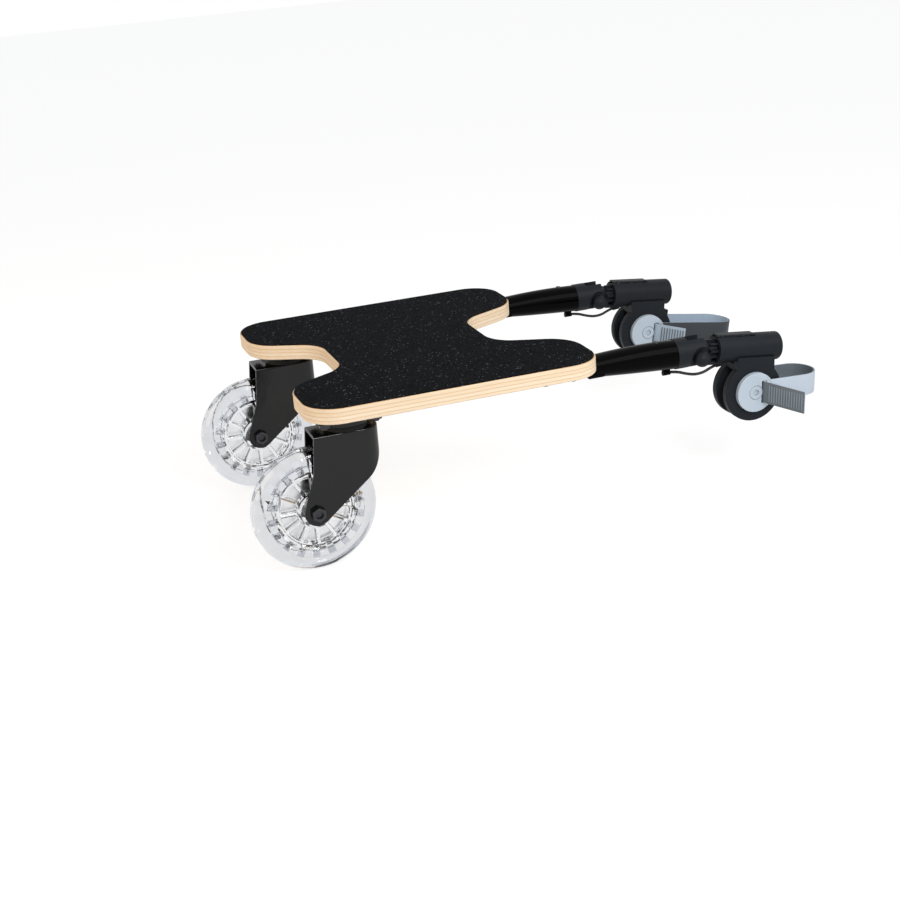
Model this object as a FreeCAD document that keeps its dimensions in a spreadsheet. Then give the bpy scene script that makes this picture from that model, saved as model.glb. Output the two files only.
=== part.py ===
import FreeCAD, Part
import Sketcher
import math
import os
from FreeCAD import Placement, Rotation, Vector

# Buggy board: a plywood standing board on two swivel casters, towed by two arms. Each arm ends in a
# hinged connector with a strap that goes round a tube. Millimetres, X to the right, Y forward, Z up,
# with the origin on the floor in the middle of the whole part.

SIZES = (
    ("centre_x", -15.3, "deck centre, right of the origin"),
    ("centre_y", -116.9, "deck centre, ahead of the origin"),
    ("deck_length", 300.0, "deck, front to back"),
    ("deck_width", 330.0, "deck, side to side"),
    ("deck_thickness", 15.4, "plywood thickness"),
    ("deck_corner", 34.0, "radius of the deck's outer corners"),
    ("deck_edge", 1.2, "rounding along the plywood's edges"),
    ("notch_floor", 90.0, "width of each notch at its floor"),
    ("notch_mouth", 158.0, "width of each notch at its mouth"),
    ("front_notch", 73.0, "depth of the front notch"),
    ("rear_notch", 65.5, "depth of the rear notch"),
    ("notch_corner", 36.5, "radius in the notch's corners"),
    ("mouth_corner", 41.0, "radius at the notch's mouth"),
    ("grip_thickness", 1.0, "grit sheet on the deck"),
    ("caster_inset", 44.2, "swivel axis inside the deck's side"),
    ("swivel_inset", 42.9, "swivel axis inside the deck's rear edge"),
    ("trail", 39.5, "axle behind the swivel axis"),
    ("wheel_radius", 62.5, "outside of the tyre"),
    ("wheel_width", 25.0, "width of the tyre"),
    ("wheel_headroom", 12.2, "space above the wheel under the crown"),
    ("crown_thickness", 3.0, "top of the fork"),
    ("swivel_gap", 5.2, "space for the balls between crown and race"),
    ("race_height", 9.0, "upper ball race below the plate"),
    ("race_radius", 22.0, "upper ball race"),
    ("plate_thickness", 3.0, "caster plate"),
    ("plate_length", 68.0, "caster plate, front to back"),
    ("plate_width", 60.0, "caster plate, side to side"),
    ("plate_corner", 7.0, "radius of the plate's corners"),
    ("plate_bolt_x", 44.0, "bolt spacing across the plate"),
    ("plate_bolt_y", 51.0, "bolt spacing along the plate"),
    ("ball_clearance", 0.2, "play above and below a bearing ball"),
    ("ball_circle", 17.0, "radius of the ring of balls"),
    ("kingpin_radius", 5.0, "kingpin shank"),
    ("kingpin_head", 9.0, "kingpin head radius"),
    ("kingpin_head_height", 4.0, "kingpin head height"),
    ("hub_gap", 2.0, "space between the wheel boss and each leg"),
    ("fork_wall", 2.5, "fork sheet thickness"),
    ("fork_shoulder", 3.0, "rounding along the fork's crown"),
    ("crown_front", 31.0, "crown ahead of the swivel axis"),
    ("crown_rear", 36.0, "crown behind the swivel axis"),
    ("leg_bend_drop", 38.5, "bend in the legs below the crown"),
    ("leg_rear_sweep", 3.5, "legs' rear edge swept back at the bend"),
    ("leg_front_radius", 40.0, "curve of the legs' front edge"),
    ("leg_rear_radius", 40.0, "curve of the legs' rear edge"),
    ("boss_radius", 13.0, "rounded leg end at the axle"),
    ("axle_radius", 4.0, "axle bolt shank"),
    ("sleeve_radius", 6.0, "spacer sleeve on the axle"),
    ("bearing_radius", 11.0, "outside of a wheel bearing"),
    ("bearing_width", 7.0, "width of a wheel bearing"),
    ("hub_width", 26.0, "wheel boss along the axle"),
    ("hub_boss", 16.0, "wheel boss radius"),
    ("hub_bore", 8.0, "bore between the bearings"),
    ("rim_radius", 41.0, "outside of the hub's rim"),
    ("rim_thickness", 5.0, "hub rim"),
    ("rim_width", 21.0, "hub rim along the axle"),
    ("spoke_thickness", 4.0, "hub spoke"),
    ("spoke_width", 17.0, "hub spoke along the axle"),
    ("tyre_crown", 11.0, "rounding of the tyre's shoulders"),
    ("bolt_radius", 3.0, "deck bolt shank"),
    ("bolt_head", 6.0, "countersunk head radius"),
    ("bolt_head_depth", 3.2, "countersunk head height"),
    ("bolt_end", 2.0, "bolt end below its nut"),
    ("nut_corner", 5.8, "nut radius over its corners"),
    ("nut_height", 5.0, "deck nut height"),
    ("axle_nut_corner", 7.5, "axle head and nut radius over their corners"),
    ("axle_nut_height", 5.5, "axle head and nut height"),
    ("arm_inset", 39.5, "arm axis inside the deck's side"),
    ("arm_length", 91.0, "arm ahead of the deck"),
    ("arm_gap", 0.3, "arm clear of the deck's front edge"),
    ("arm_drop", 5.1, "arm's front axis below the deck's underside"),
    ("arm_root_drop", 2.0, "arm's root centre below the deck's underside"),
    ("arm_root_width", 27.0, "arm width at the deck"),
    ("arm_root_height", 22.0, "arm height at the deck"),
    ("arm_middle", 45.0, "middle section ahead of the deck"),
    ("arm_middle_drop", 3.0, "middle section's centre below the deck's underside"),
    ("arm_middle_width", 29.0, "arm width at its middle section"),
    ("arm_middle_height", 28.0, "arm height at its middle section"),
    ("arm_end_radius", 15.0, "arm at the collar"),
    ("shoulder_length", 9.0, "arm body that reaches under the deck"),
    ("shoulder_width", 25.0, "arm body under the deck, side to side"),
    ("shoulder_height", 12.0, "arm body under the deck, in height"),
    ("tongue_length", 62.0, "tongue under the deck"),
    ("tongue_width", 22.0, "tongue, side to side"),
    ("tongue_thickness", 6.5, "tongue under the deck"),
    ("arm_bolt_first", 20.0, "front arm bolt behind the deck's edge"),
    ("arm_bolt_pitch", 30.0, "distance between an arm's two bolts"),
    ("collar_radius", 15.7, "collar on the arm's end"),
    ("collar_length", 32.0, "collar, front to back"),
    ("collar_edge", 0.8, "rounding of the collar's rims"),
    ("plug_radius", 12.0, "plug inside the arm"),
    ("plug_length", 34.0, "plug inside the arm"),
    ("button_back", 18.6, "snap button behind the collar"),
    ("button_radius", 3.0, "snap button"),
    ("button_flange", 4.3, "snap button's flange radius"),
    ("button_flange_height", 1.5, "snap button's flange"),
    ("button_flange_drop", 1.3, "top of the flange below the plug's surface"),
    ("button_proud", 2.0, "top of the snap button above the arm's end"),
    ("button_well", 3.5, "floor of the button's well below the arm's axis"),
    ("button_play", 0.3, "play round the snap button"),
    ("fork_slot", 14.0, "slot in the collar for the knuckle"),
    ("fork_slot_depth", 18.5, "slot behind the collar's front"),
    ("pin_back", 5.7, "hinge pin behind the collar's front"),
    ("pin_drop", 6.0, "hinge pin below the arm's axis and the rod's"),
    ("pin_radius", 3.0, "hinge pin"),
    ("pin_head", 8.2, "ball head radius"),
    ("pin_head_out", 13.6, "ball head centre outside the arm's axis"),
    ("pin_seat", 9.6, "face that the ball head sits on"),
    ("pin_cutout", 13.0, "round cut-out in the collar for the ball head"),
    ("clip_seat", 11.2, "face that the pin's clip sits on"),
    ("clip_recess", 6.0, "recess for the pin's clip"),
    ("clip_radius", 5.0, "pin clip"),
    ("clip_thickness", 1.2, "pin clip"),
    ("tilt", 6.5, "connector's nose-down angle at rest, in degrees"),
    ("knuckle_radius", 7.6, "knuckle on the hinge pin"),
    ("knuckle_play", 0.3, "knuckle clear of the slot on each side"),
    ("rod_core", 7.0, "finned rod's core radius"),
    ("neck_width", 10.8, "rod's neck behind the fins"),
    ("fin_radius", 10.4, "finned rod over its fins"),
    ("fin_thickness", 2.0, "one fin"),
    ("fin_start", 11.5, "fins ahead of the hinge pin"),
    ("rod_room", 11.0, "room in the housing ahead of the rod's end"),
    ("rod_play", 0.3, "rod clear of the housing's bore"),
    ("key_width", 12.0, "guide key under the rod"),
    ("key_low", 15.2, "underside of the key below the rod's axis"),
    ("key_thickness", 3.3, "guide key"),
    ("key_end", 34.0, "key's end ahead of the hinge pin"),
    ("key_play", 0.5, "key clear of its slot on each side"),
    ("key_slot", 23.0, "slot in the housing for the key"),
    ("housing_radius", 14.8, "connector housing"),
    ("housing_start", 20.2, "housing ahead of the hinge pin"),
    ("housing_length", 73.3, "connector housing"),
    ("housing_nose", 6.0, "closed front end of the housing"),
    ("housing_edge", 2.2, "rounding of the housing's front rim"),
    ("disc_ahead", 63.0, "strap disc ahead of the hinge pin"),
    ("disc_below", 44.0, "strap disc below the rod's axis"),
    ("ear_radius", 32.0, "round ears"),
    ("ear_thickness", 8.0, "one ear"),
    ("ear_slot", 14.0, "slot between the ears"),
    ("ear_edge", 1.0, "rounding of the ears' rims"),
    ("neck_back", 21.5, "neck behind the disc's centre"),
    ("neck_front", 21.0, "neck ahead of the disc's centre"),
    ("web_height", 7.0, "web between the ears below the housing"),
    ("tab_length", 43.0, "release tab"),
    ("tab_width", 12.0, "release tab"),
    ("tab_wall", 1.3, "housing between its bore and the tab's well"),
    ("tab_room", 2.1, "room for the spring under the release tab"),
    ("tab_proud", 0.8, "top of the release tab above the housing"),
    ("tab_play", 0.3, "release tab clear of its well"),
    ("tab_edge", 1.2, "rounding along the release tab"),
    ("leaf", 0.5, "leaf spring thickness"),
    ("core_radius", 19.0, "disc core in the ears"),
    ("cap_radius", 21.0, "disc cap outside the ears"),
    ("cap_height", 5.0, "disc cap"),
    ("cap_floor", 1.0, "disc cap between the strap and the ear"),
    ("cap_edge", 0.8, "rounding of the cap's rim"),
    ("flange_height", 2.8, "drum's flange on the other ear"),
    ("face_gap", 0.2, "disc clear of an ear's face"),
    ("running_gap", 0.05, "radial clearance of a turning fit"),
    ("screw_radius", 3.6, "disc's centre screw"),
    ("screw_head", 7.2, "centre screw's head radius"),
    ("screw_head_gap", 0.5, "ring of space round the centre screw's head"),
    ("screw_head_height", 2.0, "centre screw's head"),
    ("clamp_nut_corner", 6.8, "clamp nut radius over its corners"),
    ("clamp_nut_height", 5.0, "clamp nut"),
    ("strap_width", 23.0, "ladder strap"),
    ("strap_thickness", 2.2, "ladder strap"),
    ("strap_play", 0.25, "strap clear of its slots"),
    ("loop_radius", 19.5, "inside of the strap's front bend"),
    ("loop_right", 58.0, "centre of the right strap's front bend ahead of the disc"),
    ("loop_left", 95.0, "centre of the left strap's front bend ahead of the disc"),
    ("tail_exit", 4.6, "where the strap turns out, ahead of the centre screw's head"),
    ("tail_bend", 3.3, "middle radius of the strap's turn at the disc"),
    ("tail_right", 51.0, "loose end of the right strap"),
    ("tail_left", 34.0, "loose end of the left strap"),
    ("tail_right_angle", 21.0, "right loose end, forward of straight out, in degrees"),
    ("tail_left_angle", 46.0, "left loose end, forward of straight out, in degrees"),
    ("turn_right", 4.0, "right strap turned up about its disc, in degrees"),
    ("turn_left", -2.5, "left strap turned up about its disc, in degrees"),
    ("tooth_pitch", 3.2, "ladder teeth spacing"),
    ("tooth_height", 0.6, "ladder teeth"),
    ("tooth_length", 1.6, "one ladder tooth along the strap"),
    ("tooth_margin", 3.0, "plain border beside the teeth"),
    ("lug_length", 42.0, "strap anchor ahead of the disc"),
    ("lug_back", 5.0, "strap anchor's start ahead of the disc"),
    ("lug_height", 38.0, "strap anchor, in height"),
    ("lug_wall", 2.4, "strap anchor beside the strap"),
    ("lug_grip", 24.0, "strap held inside its anchor"),
    ("tether_radius", 1.5, "tether cord"),
    ("eye_back", 4.0, "tether's rear socket behind the collar"),
    ("eye_drop", 18.4, "tether's rear socket below the arm's axis"),
    ("key_eye_back", 2.0, "tether's front socket behind the key's end"),
    ("key_eye_drop", 2.21, "cord socket's axis below the key"),
    ("tether_gap", 0.25, "tether clear of its end sockets"),
    ("eye_radius", 2.6, "tether's end sockets"),
    ("eye_length", 8.0, "tether's end sockets"),
    ("fit_gap", 0.1, "clearance round fixed fasteners"),
)
BALL_COUNT = 14
SPOKE_COUNT = 12
FIN_PAIRS = 4
SIDES = (("left", -1), ("right", 1))

doc = FreeCAD.newDocument("buggy_board")
sheet = doc.addObject("Spreadsheet::Sheet", "Sizes")
parts = []


class Size:
    """A number with the sheet formula that gives it, so that one sum makes both."""

    def __init__(self, value, text):
        self.value = value
        self.text = text

    def __float__(self):
        return self.value

    def __add__(self, other):
        other = sized(other)
        return Size(self.value + other.value, f"({self.text} + {other.text})")

    def __sub__(self, other):
        other = sized(other)
        return Size(self.value - other.value, f"({self.text} - {other.text})")

    def __mul__(self, other):
        other = sized(other)
        return Size(self.value * other.value, f"({self.text} * {other.text})")

    def __truediv__(self, other):
        other = sized(other)
        return Size(self.value / other.value, f"({self.text} / {other.text})")

    def __neg__(self):
        return Size(-self.value, f"(0 - {self.text})")

    def __radd__(self, other):
        return sized(other) + self

    def __rsub__(self, other):
        return sized(other) - self

    def __rmul__(self, other):
        return sized(other) * self


def sized(number):
    """Any plain number as a Size."""
    if isinstance(number, Size):
        return number
    return Size(float(number), f"({float(number):.9f})")


def least(*sizes):
    """The smallest of these sizes, for a rounding that has to fit its wall."""
    sizes = [sized(size) for size in sizes]
    formulas = "; ".join(size.text for size in sizes)
    return Size(min(size.value for size in sizes), f"min({formulas})")


class Sizes:
    """The sheet's cells by alias."""


S = Sizes()
for row, (alias, value, meaning) in enumerate(SIZES, start=1):
    sheet.set(f"A{row}", meaning)
    sheet.set(f"B{row}", str(value))
    sheet.setAlias(f"B{row}", alias)
doc.recompute()
for alias, value, meaning in SIZES:
    setattr(S, alias, Size(float(sheet.get(alias)), f"Sizes.{alias}"))

# Heights and places that several pieces share
CROWN_UNDER = 2 * S.wheel_radius + S.wheel_headroom
CROWN_TOP = CROWN_UNDER + S.crown_thickness
RACE_FACE = CROWN_TOP + S.swivel_gap
PLATE_UNDER = RACE_FACE + S.race_height
DECK_UNDER = PLATE_UNDER + S.plate_thickness
DECK_TOP = DECK_UNDER + S.deck_thickness
FRONT_EDGE = S.centre_y + S.deck_length / 2
SWIVEL_Y = S.centre_y - S.deck_length / 2 + S.swivel_inset
AXLE_Y = SWIVEL_Y - S.trail
FORK_INNER = S.hub_width / 2 + S.hub_gap
FORK_FACE = FORK_INNER + S.fork_wall
ARM_AXIS = DECK_UNDER - S.arm_drop
ARM_START = FRONT_EDGE + S.arm_gap
COLLAR_START = FRONT_EDGE + S.arm_length
COLLAR_FRONT = COLLAR_START + S.collar_length
PIN_Y = COLLAR_FRONT - S.pin_back
PIN_Z = ARM_AXIS - S.pin_drop
HOUSING_BORE = S.fin_radius + S.rod_play
TAB_FLOOR = HOUSING_BORE + S.tab_wall
TAB_LOW = TAB_FLOOR + S.tab_room
TAB_TOP = S.housing_radius + S.tab_proud
EAR_FACE = S.ear_slot / 2 + S.ear_thickness
CAP_SEAT = EAR_FACE + S.face_gap
CAP_FACE = CAP_SEAT + S.cap_height
DRUM_SEAT = -EAR_FACE - S.face_gap
STRAP_LINE = CAP_SEAT + S.cap_floor + S.strap_play + S.strap_thickness / 2
LOOP_BEND = S.loop_radius + S.strap_thickness / 2
ANCHOR_LINE = 2 * LOOP_BEND - STRAP_LINE
TAIL_EXIT = S.screw_head + S.tail_exit
ROD_END = S.housing_start + S.housing_length - S.housing_nose - S.rod_room
KEY_EYE_Y = S.key_end - S.eye_length - S.key_eye_back
KEY_EYE_Z = -S.key_low - S.key_eye_drop
BUTTON_FLANGE_TOP = S.plug_radius - S.button_flange_drop
BUTTON_TOP = S.arm_end_radius + S.button_proud

ALONG_X = Rotation(Vector(0, 1, 0), 90)
ALONG_Y = Rotation(Vector(1, 0, 0), -90)
ALONG_Z = Rotation()
SECTION = Rotation(Vector(1, 0, 0), 90)


def caster_x(sign):
    return S.centre_x + sign * (S.deck_width / 2 - S.caster_inset)


def arm_x(sign):
    return S.centre_x + sign * (S.deck_width / 2 - S.arm_inset)


def tie(piece, path, size):
    """Bind one property of a piece to the sheet."""
    piece.setExpression(path, sized(size).text)


def primitive(kind, name, place, turn, **sizes):
    piece = doc.addObject("Part::" + kind, name)
    piece.Placement = Placement(Vector(), turn)
    for axis, value in zip("xyz", place):
        tie(piece, "Placement.Base." + axis, value)
    for path, value in sizes.items():
        tie(piece, path, value)
    return piece


def bar(name, place, turn, radius, length):
    """A cylinder that starts at a place and runs along one axis."""
    return primitive("Cylinder", name, place, turn, Radius=radius, Height=length)


def hexagon(name, place, turn, corner, length):
    piece = primitive("Prism", name, place, turn, Circumradius=corner, Height=length)
    piece.Polygon = 6
    return piece


def block(name, low, high):
    length, width, height = (top - bottom for bottom, top in zip(map(sized, low), map(sized, high)))
    return primitive("Box", name, low, ALONG_Z, Length=length, Width=width, Height=height)


def joined(name, *pieces):
    fused = doc.addObject("Part::MultiFuse", name)
    fused.Shapes = list(pieces)
    fused.Refine = True
    return fused


def cut(name, base, *tools):
    result = doc.addObject("Part::Cut", name)
    result.Base = base
    result.Tool = tools[0] if len(tools) == 1 else joined(name + "_tools", *tools)
    result.Refine = True
    return result


def shared(name, first, second):
    common = doc.addObject("Part::Common", name)
    common.Base = first
    common.Tool = second
    return common


def group(name, pieces):
    """Identical loose pieces in one node."""
    compound = doc.addObject("Part::Compound", name)
    compound.Links = list(pieces)
    return compound


def rounded(name, base, radius, chosen):
    """Fillet the edges that a test picks."""
    doc.recompute()
    fillet = doc.addObject("Part::Fillet", name)
    fillet.Base = base
    size = float(radius)
    fillet.Edges = [(i, size, size) for i, edge in enumerate(base.Shape.Edges, 1) if chosen(edge)]
    return fillet


def keep(label, piece):
    """Name a finished sub-part."""
    piece.Label = label
    parts.append(piece)


def near(value, size, reach=0.01):
    return abs(value - float(size)) < reach


def body_sketch(body, name, role):
    sketch = body.newObject("Sketcher::SketchObject", name)
    plane = next(item for item in body.Origin.OriginFeatures if item.Role == role)
    sketch.AttachmentSupport = (plane, [""])
    sketch.MapMode = "FlatFace"
    return sketch


def tie_point(sketch, geometry, position, point):
    """Bind one sketch point's two coordinates to the sheet."""
    for kind, size in zip(("DistanceX", "DistanceY"), point):
        rule = Sketcher.Constraint(kind, -1, 1, geometry, position, float(size))
        name = f"{kind}_{geometry}"
        sketch.renameConstraint(sketch.addConstraint(rule), name)
        tie(sketch, f"Constraints.{name}", size)


def polygon(body, name, role, corners):
    """A closed outline in one of the body's planes, with every corner bound to the sheet."""
    sketch = body_sketch(body, name, role)
    corners = [tuple(map(sized, corner)) for corner in corners]
    places = [Vector(float(across), float(up), 0) for across, up in corners]
    for start, end in zip(places, places[1:] + places[:1]):
        sketch.addGeometry(Part.LineSegment(start, end))
    for index in range(len(corners)):
        following = (index + 1) % len(corners)
        sketch.addConstraint(Sketcher.Constraint("Coincident", index, 2, following, 1))
    for index, corner in enumerate(corners):
        tie_point(sketch, index, 1, corner)
    return sketch


def circle(body, name, role, centre, radius):
    sketch = body_sketch(body, name, role)
    centre = tuple(map(sized, centre))
    middle = Vector(float(centre[0]), float(centre[1]), 0)
    sketch.addGeometry(Part.Circle(middle, Vector(0, 0, 1), float(radius)))
    sketch.renameConstraint(sketch.addConstraint(Sketcher.Constraint("Radius", 0, float(radius))), "radius")
    tie(sketch, "Constraints.radius", radius)
    tie_point(sketch, 0, 3, centre)
    return sketch


def pad(body, name, sketch, length, symmetric=False):
    feature = body.newObject("PartDesign::Pad", name)
    feature.Profile = sketch
    tie(feature, "Length", length)
    if symmetric:
        feature.SideType = "Symmetric"
    return feature


def body_fillet(body, name, radius, chosen):
    doc.recompute()
    tip = body.Tip
    feature = body.newObject("PartDesign::Fillet", name)
    edges = [f"Edge{i}" for i, edge in enumerate(tip.Shape.Edges, 1) if chosen(edge)]
    feature.Base = (tip, edges)
    tie(feature, "Radius", radius)
    return feature


def leaf_body(name, corners, width):
    """A bent strip: its side outline, padded to both sides."""
    body = doc.addObject("PartDesign::Body", name)
    pad(body, name + "_strip", polygon(body, name + "_outline", "YZ_Plane", corners), width, symmetric=True)
    return body


def place_body(body, place):
    for axis, value in zip("xyz", place):
        tie(body, "Placement.Base." + axis, value)


def vertical_at(edge, across):
    """Is this an upright edge at this distance from the middle plane?"""
    start, end = edge.Vertexes[0].Point, edge.Vertexes[-1].Point
    upright = near(start.x, end.x) and near(start.y, end.y) and not near(start.z, end.z)
    return upright and near(abs(start.x), across)


def deck_outline(name, inset, thickness):
    """The H-shaped outline of the deck, or of the sheet on it, with its corners rounded."""
    body = doc.addObject("PartDesign::Body", name)
    half = S.deck_width / 2 - inset
    end = S.deck_length / 2 - inset
    mouth = S.notch_mouth / 2 + inset
    floor = S.notch_floor / 2 + inset
    front = S.deck_length / 2 - S.front_notch - inset
    rear = S.rear_notch - S.deck_length / 2 + inset
    corners = (
        (-half, -end), (-mouth, -end), (-floor, rear), (floor, rear), (mouth, -end), (half, -end),
        (half, end), (mouth, end), (floor, front), (-floor, front), (-mouth, end), (-half, end),
    )
    pad(body, name + "_board", polygon(body, name + "_outline", "XY_Plane", corners), thickness)
    # the outer corner and the mouth share the end of each horn
    horn = half - mouth
    turn = math.atan2(float(S.front_notch), float(mouth - floor))
    outer = least(S.deck_corner, 0.5 * horn)
    inner = least(S.mouth_corner, 0.45 * horn / math.tan(turn / 2))
    body_fillet(body, name + "_corners", outer, lambda edge: vertical_at(edge, half))
    body_fillet(body, name + "_mouths", inner, lambda edge: vertical_at(edge, mouth))
    body_fillet(body, name + "_notches", S.notch_corner, lambda edge: vertical_at(edge, floor))
    return body


def bolt_places():
    """Where the deck bolts go: (x, y, z of the face that their nuts sit on), plates then arms."""
    plates = []
    arms = []
    for side, sign in SIDES:
        for across in (-1, 1):
            for along in (-1, 1):
                x = caster_x(sign) + across * S.plate_bolt_x / 2
                plates.append((x, SWIVEL_Y + along * S.plate_bolt_y / 2, PLATE_UNDER))
        for step in (0, 1):
            y = FRONT_EDGE - S.arm_bolt_first - step * S.arm_bolt_pitch
            arms.append((arm_x(sign), y, DECK_UNDER - S.tongue_thickness))
    return plates, arms


def countersunk(name, x, y, low, gap):
    """A countersunk bolt with its head flush in the plywood, or with a gap, the hole for it."""
    top = DECK_TOP - S.fit_gap
    shank = bar(name + "_shank", (x, y, low), ALONG_Z, S.bolt_radius + gap, top - low)
    head = primitive(
        "Cone", name + "_head", (x, y, top - S.bolt_head_depth), ALONG_Z,
        Radius1=S.bolt_radius + gap, Radius2=S.bolt_head + gap, Height=S.bolt_head_depth,
    )
    if not float(gap):
        return joined(name, shank, head)
    mouth = bar(name + "_mouth", (x, y, top), ALONG_Z, S.bolt_head + gap, S.fit_gap)
    return joined(name, shank, head, mouth)


def make_deck():
    plates, arms = bolt_places()
    board = deck_outline("deck_board", sized(0), S.deck_thickness)
    body_fillet(
        board, "deck_rims", S.deck_edge,
        lambda edge: near(edge.BoundBox.ZLength, 0),
    )
    place_body(board, (S.centre_x, S.centre_y, DECK_UNDER))
    holes = []
    for index, (x, y, seat) in enumerate(plates + arms):
        holes.append(countersunk(f"deck_hole_{index}", x, y, DECK_UNDER - S.deck_edge, S.fit_gap))
    keep("deck", cut("deck_drilled", board, *holes))
    sheet_body = deck_outline("grip", S.deck_edge, S.grip_thickness)
    place_body(sheet_body, (S.centre_x, S.centre_y, DECK_TOP))
    keep("grip_sheet", sheet_body)
    for label, places in (("plate", plates), ("arm", arms)):
        bolts = []
        nuts = []
        for index, (x, y, seat) in enumerate(places):
            end = seat - S.nut_height - S.bolt_end
            bolts.append(countersunk(f"{label}_bolt_{index}", x, y, end, sized(0)))
            low = seat - S.nut_height
            solid = hexagon(f"{label}_hex_{index}", (x, y, low), ALONG_Z, S.nut_corner, S.nut_height)
            bore = S.bolt_radius + S.running_gap
            hole = bar(f"{label}_thread_{index}", (x, y, low), ALONG_Z, bore, S.nut_height)
            nuts.append(cut(f"{label}_nut_{index}", solid, hole))
        keep(label + "_bolts", group(label + "_bolt_set", bolts))
        keep(label + "_nuts", group(label + "_nut_set", nuts))


def make_caster_plate(side, x):
    name = f"plate_{side}_"
    low = (x - S.plate_width / 2, SWIVEL_Y - S.plate_length / 2, PLATE_UNDER)
    high = (x + S.plate_width / 2, SWIVEL_Y + S.plate_length / 2, DECK_UNDER)
    flat = rounded(
        name + "corners", block(name + "flat", low, high), S.plate_corner,
        lambda edge: near(edge.BoundBox.ZLength, S.plate_thickness),
    )
    race = bar(name + "race", (x, SWIVEL_Y, RACE_FACE), ALONG_Z, S.race_radius, S.race_height)
    holes = [bar(name + "pin_hole", (x, SWIVEL_Y, RACE_FACE), ALONG_Z, S.kingpin_radius + S.running_gap,
                 S.race_height + S.plate_thickness)]
    for across in (-1, 1):
        for along in (-1, 1):
            place = (x + across * S.plate_bolt_x / 2, SWIVEL_Y + along * S.plate_bolt_y / 2, PLATE_UNDER)
            holes.append(bar(name + "hole", place, ALONG_Z, S.bolt_radius + S.fit_gap, S.plate_thickness))
    keep(f"caster_plate_{side}", cut(name + "drilled", joined(name + "pressed", flat, race), *holes))


def make_kingpin(side, x):
    name = f"kingpin_{side}_"
    head_top = CROWN_UNDER - S.ball_clearance
    head_low = head_top - S.kingpin_head_height
    shank = bar(name + "shank", (x, SWIVEL_Y, head_low), ALONG_Z, S.kingpin_radius,
                DECK_UNDER - S.fit_gap - head_low)
    head = bar(name + "head", (x, SWIVEL_Y, head_low), ALONG_Z, S.kingpin_head, S.kingpin_head_height)
    keep(f"kingpin_{side}", joined(name + "pin", shank, head))


def make_swivel_balls(side, x):
    radius = S.swivel_gap / 2 - S.ball_clearance
    balls = []
    for step in range(BALL_COUNT):
        turn = 2 * math.pi * step / BALL_COUNT
        place = (
            x + S.ball_circle * math.cos(turn),
            SWIVEL_Y + S.ball_circle * math.sin(turn),
            CROWN_TOP + S.swivel_gap / 2,
        )
        balls.append(primitive("Sphere", f"ball_{side}_{step}", place, ALONG_Z, Radius=radius))
    keep(f"swivel_balls_{side}", group(f"balls_{side}", balls))


def tangent_point(point, centre, radius, side):
    """Where a straight edge from a point touches a round boss, on its left (1) or right (-1)."""
    reach = math.hypot(centre[0] - point[0], centre[1] - point[1])
    heading = math.atan2(centre[1] - point[1], centre[0] - point[0])
    bearing = heading + side * (math.pi / 2 + math.asin(radius / reach))
    return math.cos(bearing), math.sin(bearing)


def make_fork(side, x):
    """Pressed steel fork, round at the front, in a frame with the swivel axis at Y 0 and the floor at Z 0."""
    name = f"fork_{side}_"
    body = doc.addObject("PartDesign::Body", name + "legs")
    bend = CROWN_TOP - S.leg_bend_drop
    front_bend = (S.crown_front, bend)
    rear_bend = (-S.crown_rear - S.leg_rear_sweep, bend)
    axle = (-S.trail, S.wheel_radius)
    corners = [(-S.crown_rear, CROWN_TOP), (S.crown_front, CROWN_TOP), front_bend]
    # the legs' edges run on to the round boss and touch it there
    for corner, hand in ((front_bend, 1), (rear_bend, -1)):
        point = (float(corner[0]), float(corner[1]))
        centre = (float(axle[0]), float(axle[1]))
        across, up = tangent_point(point, centre, float(S.boss_radius), hand)
        corners.append((axle[0] + S.boss_radius * across, axle[1] + S.boss_radius * up))
    corners.append(rear_bend)
    outline = polygon(body, name + "side", "YZ_Plane", corners)
    pad(body, name + "sheet", outline, 2 * FORK_FACE, symmetric=True)

    def along_x_at(edge, corner):
        middle = edge.BoundBox.Center
        return edge.BoundBox.XLength > 1 and near(middle.y, corner[0]) and near(middle.z, corner[1])

    body_fillet(body, name + "front", S.leg_front_radius, lambda edge: along_x_at(edge, front_bend))
    body_fillet(body, name + "rear", S.leg_rear_radius, lambda edge: along_x_at(edge, rear_bend))
    boss = circle(body, name + "boss", "YZ_Plane", axle, S.boss_radius)
    pad(body, name + "bosses", boss, 2 * FORK_FACE, symmetric=True)
    place_body(body, (x, SWIVEL_Y, sized(0)))

    def channel(label, half, top):
        """An upright channel with a full round front, open behind the wheel."""
        middle = SWIVEL_Y + S.crown_front - FORK_FACE
        straight = block(name + label + "_sides", (x - half, AXLE_Y - S.wheel_radius, sized(0)),
                         (x + half, middle, top))
        nose = bar(name + label + "_nose", (x, middle, sized(0)), ALONG_Z, half, top)
        return joined(name + label, straight, nose)

    pressing = rounded(
        name + "pressing", shared(name + "wrapped", body, channel("outside", FORK_FACE, CROWN_TOP)),
        S.fork_shoulder,
        lambda edge: near(edge.BoundBox.ZMin, CROWN_TOP) and edge.BoundBox.YMax > float(AXLE_Y)
        and edge.BoundBox.YLength > float(S.fork_shoulder),
    )
    swivel_hole = bar(name + "swivel_hole", (x, SWIVEL_Y, CROWN_UNDER - 1), ALONG_Z,
                      S.kingpin_radius + S.running_gap, S.crown_thickness + 2)
    axle_hole = bar(name + "axle_hole", (x - 2 * FORK_FACE, AXLE_Y, S.wheel_radius), ALONG_X,
                    S.axle_radius + S.fit_gap, 4 * FORK_FACE)
    inside = channel("inside", FORK_INNER, CROWN_UNDER)
    keep(f"fork_{side}", cut(name + "drilled", pressing, inside, swivel_hole, axle_hole))


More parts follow.
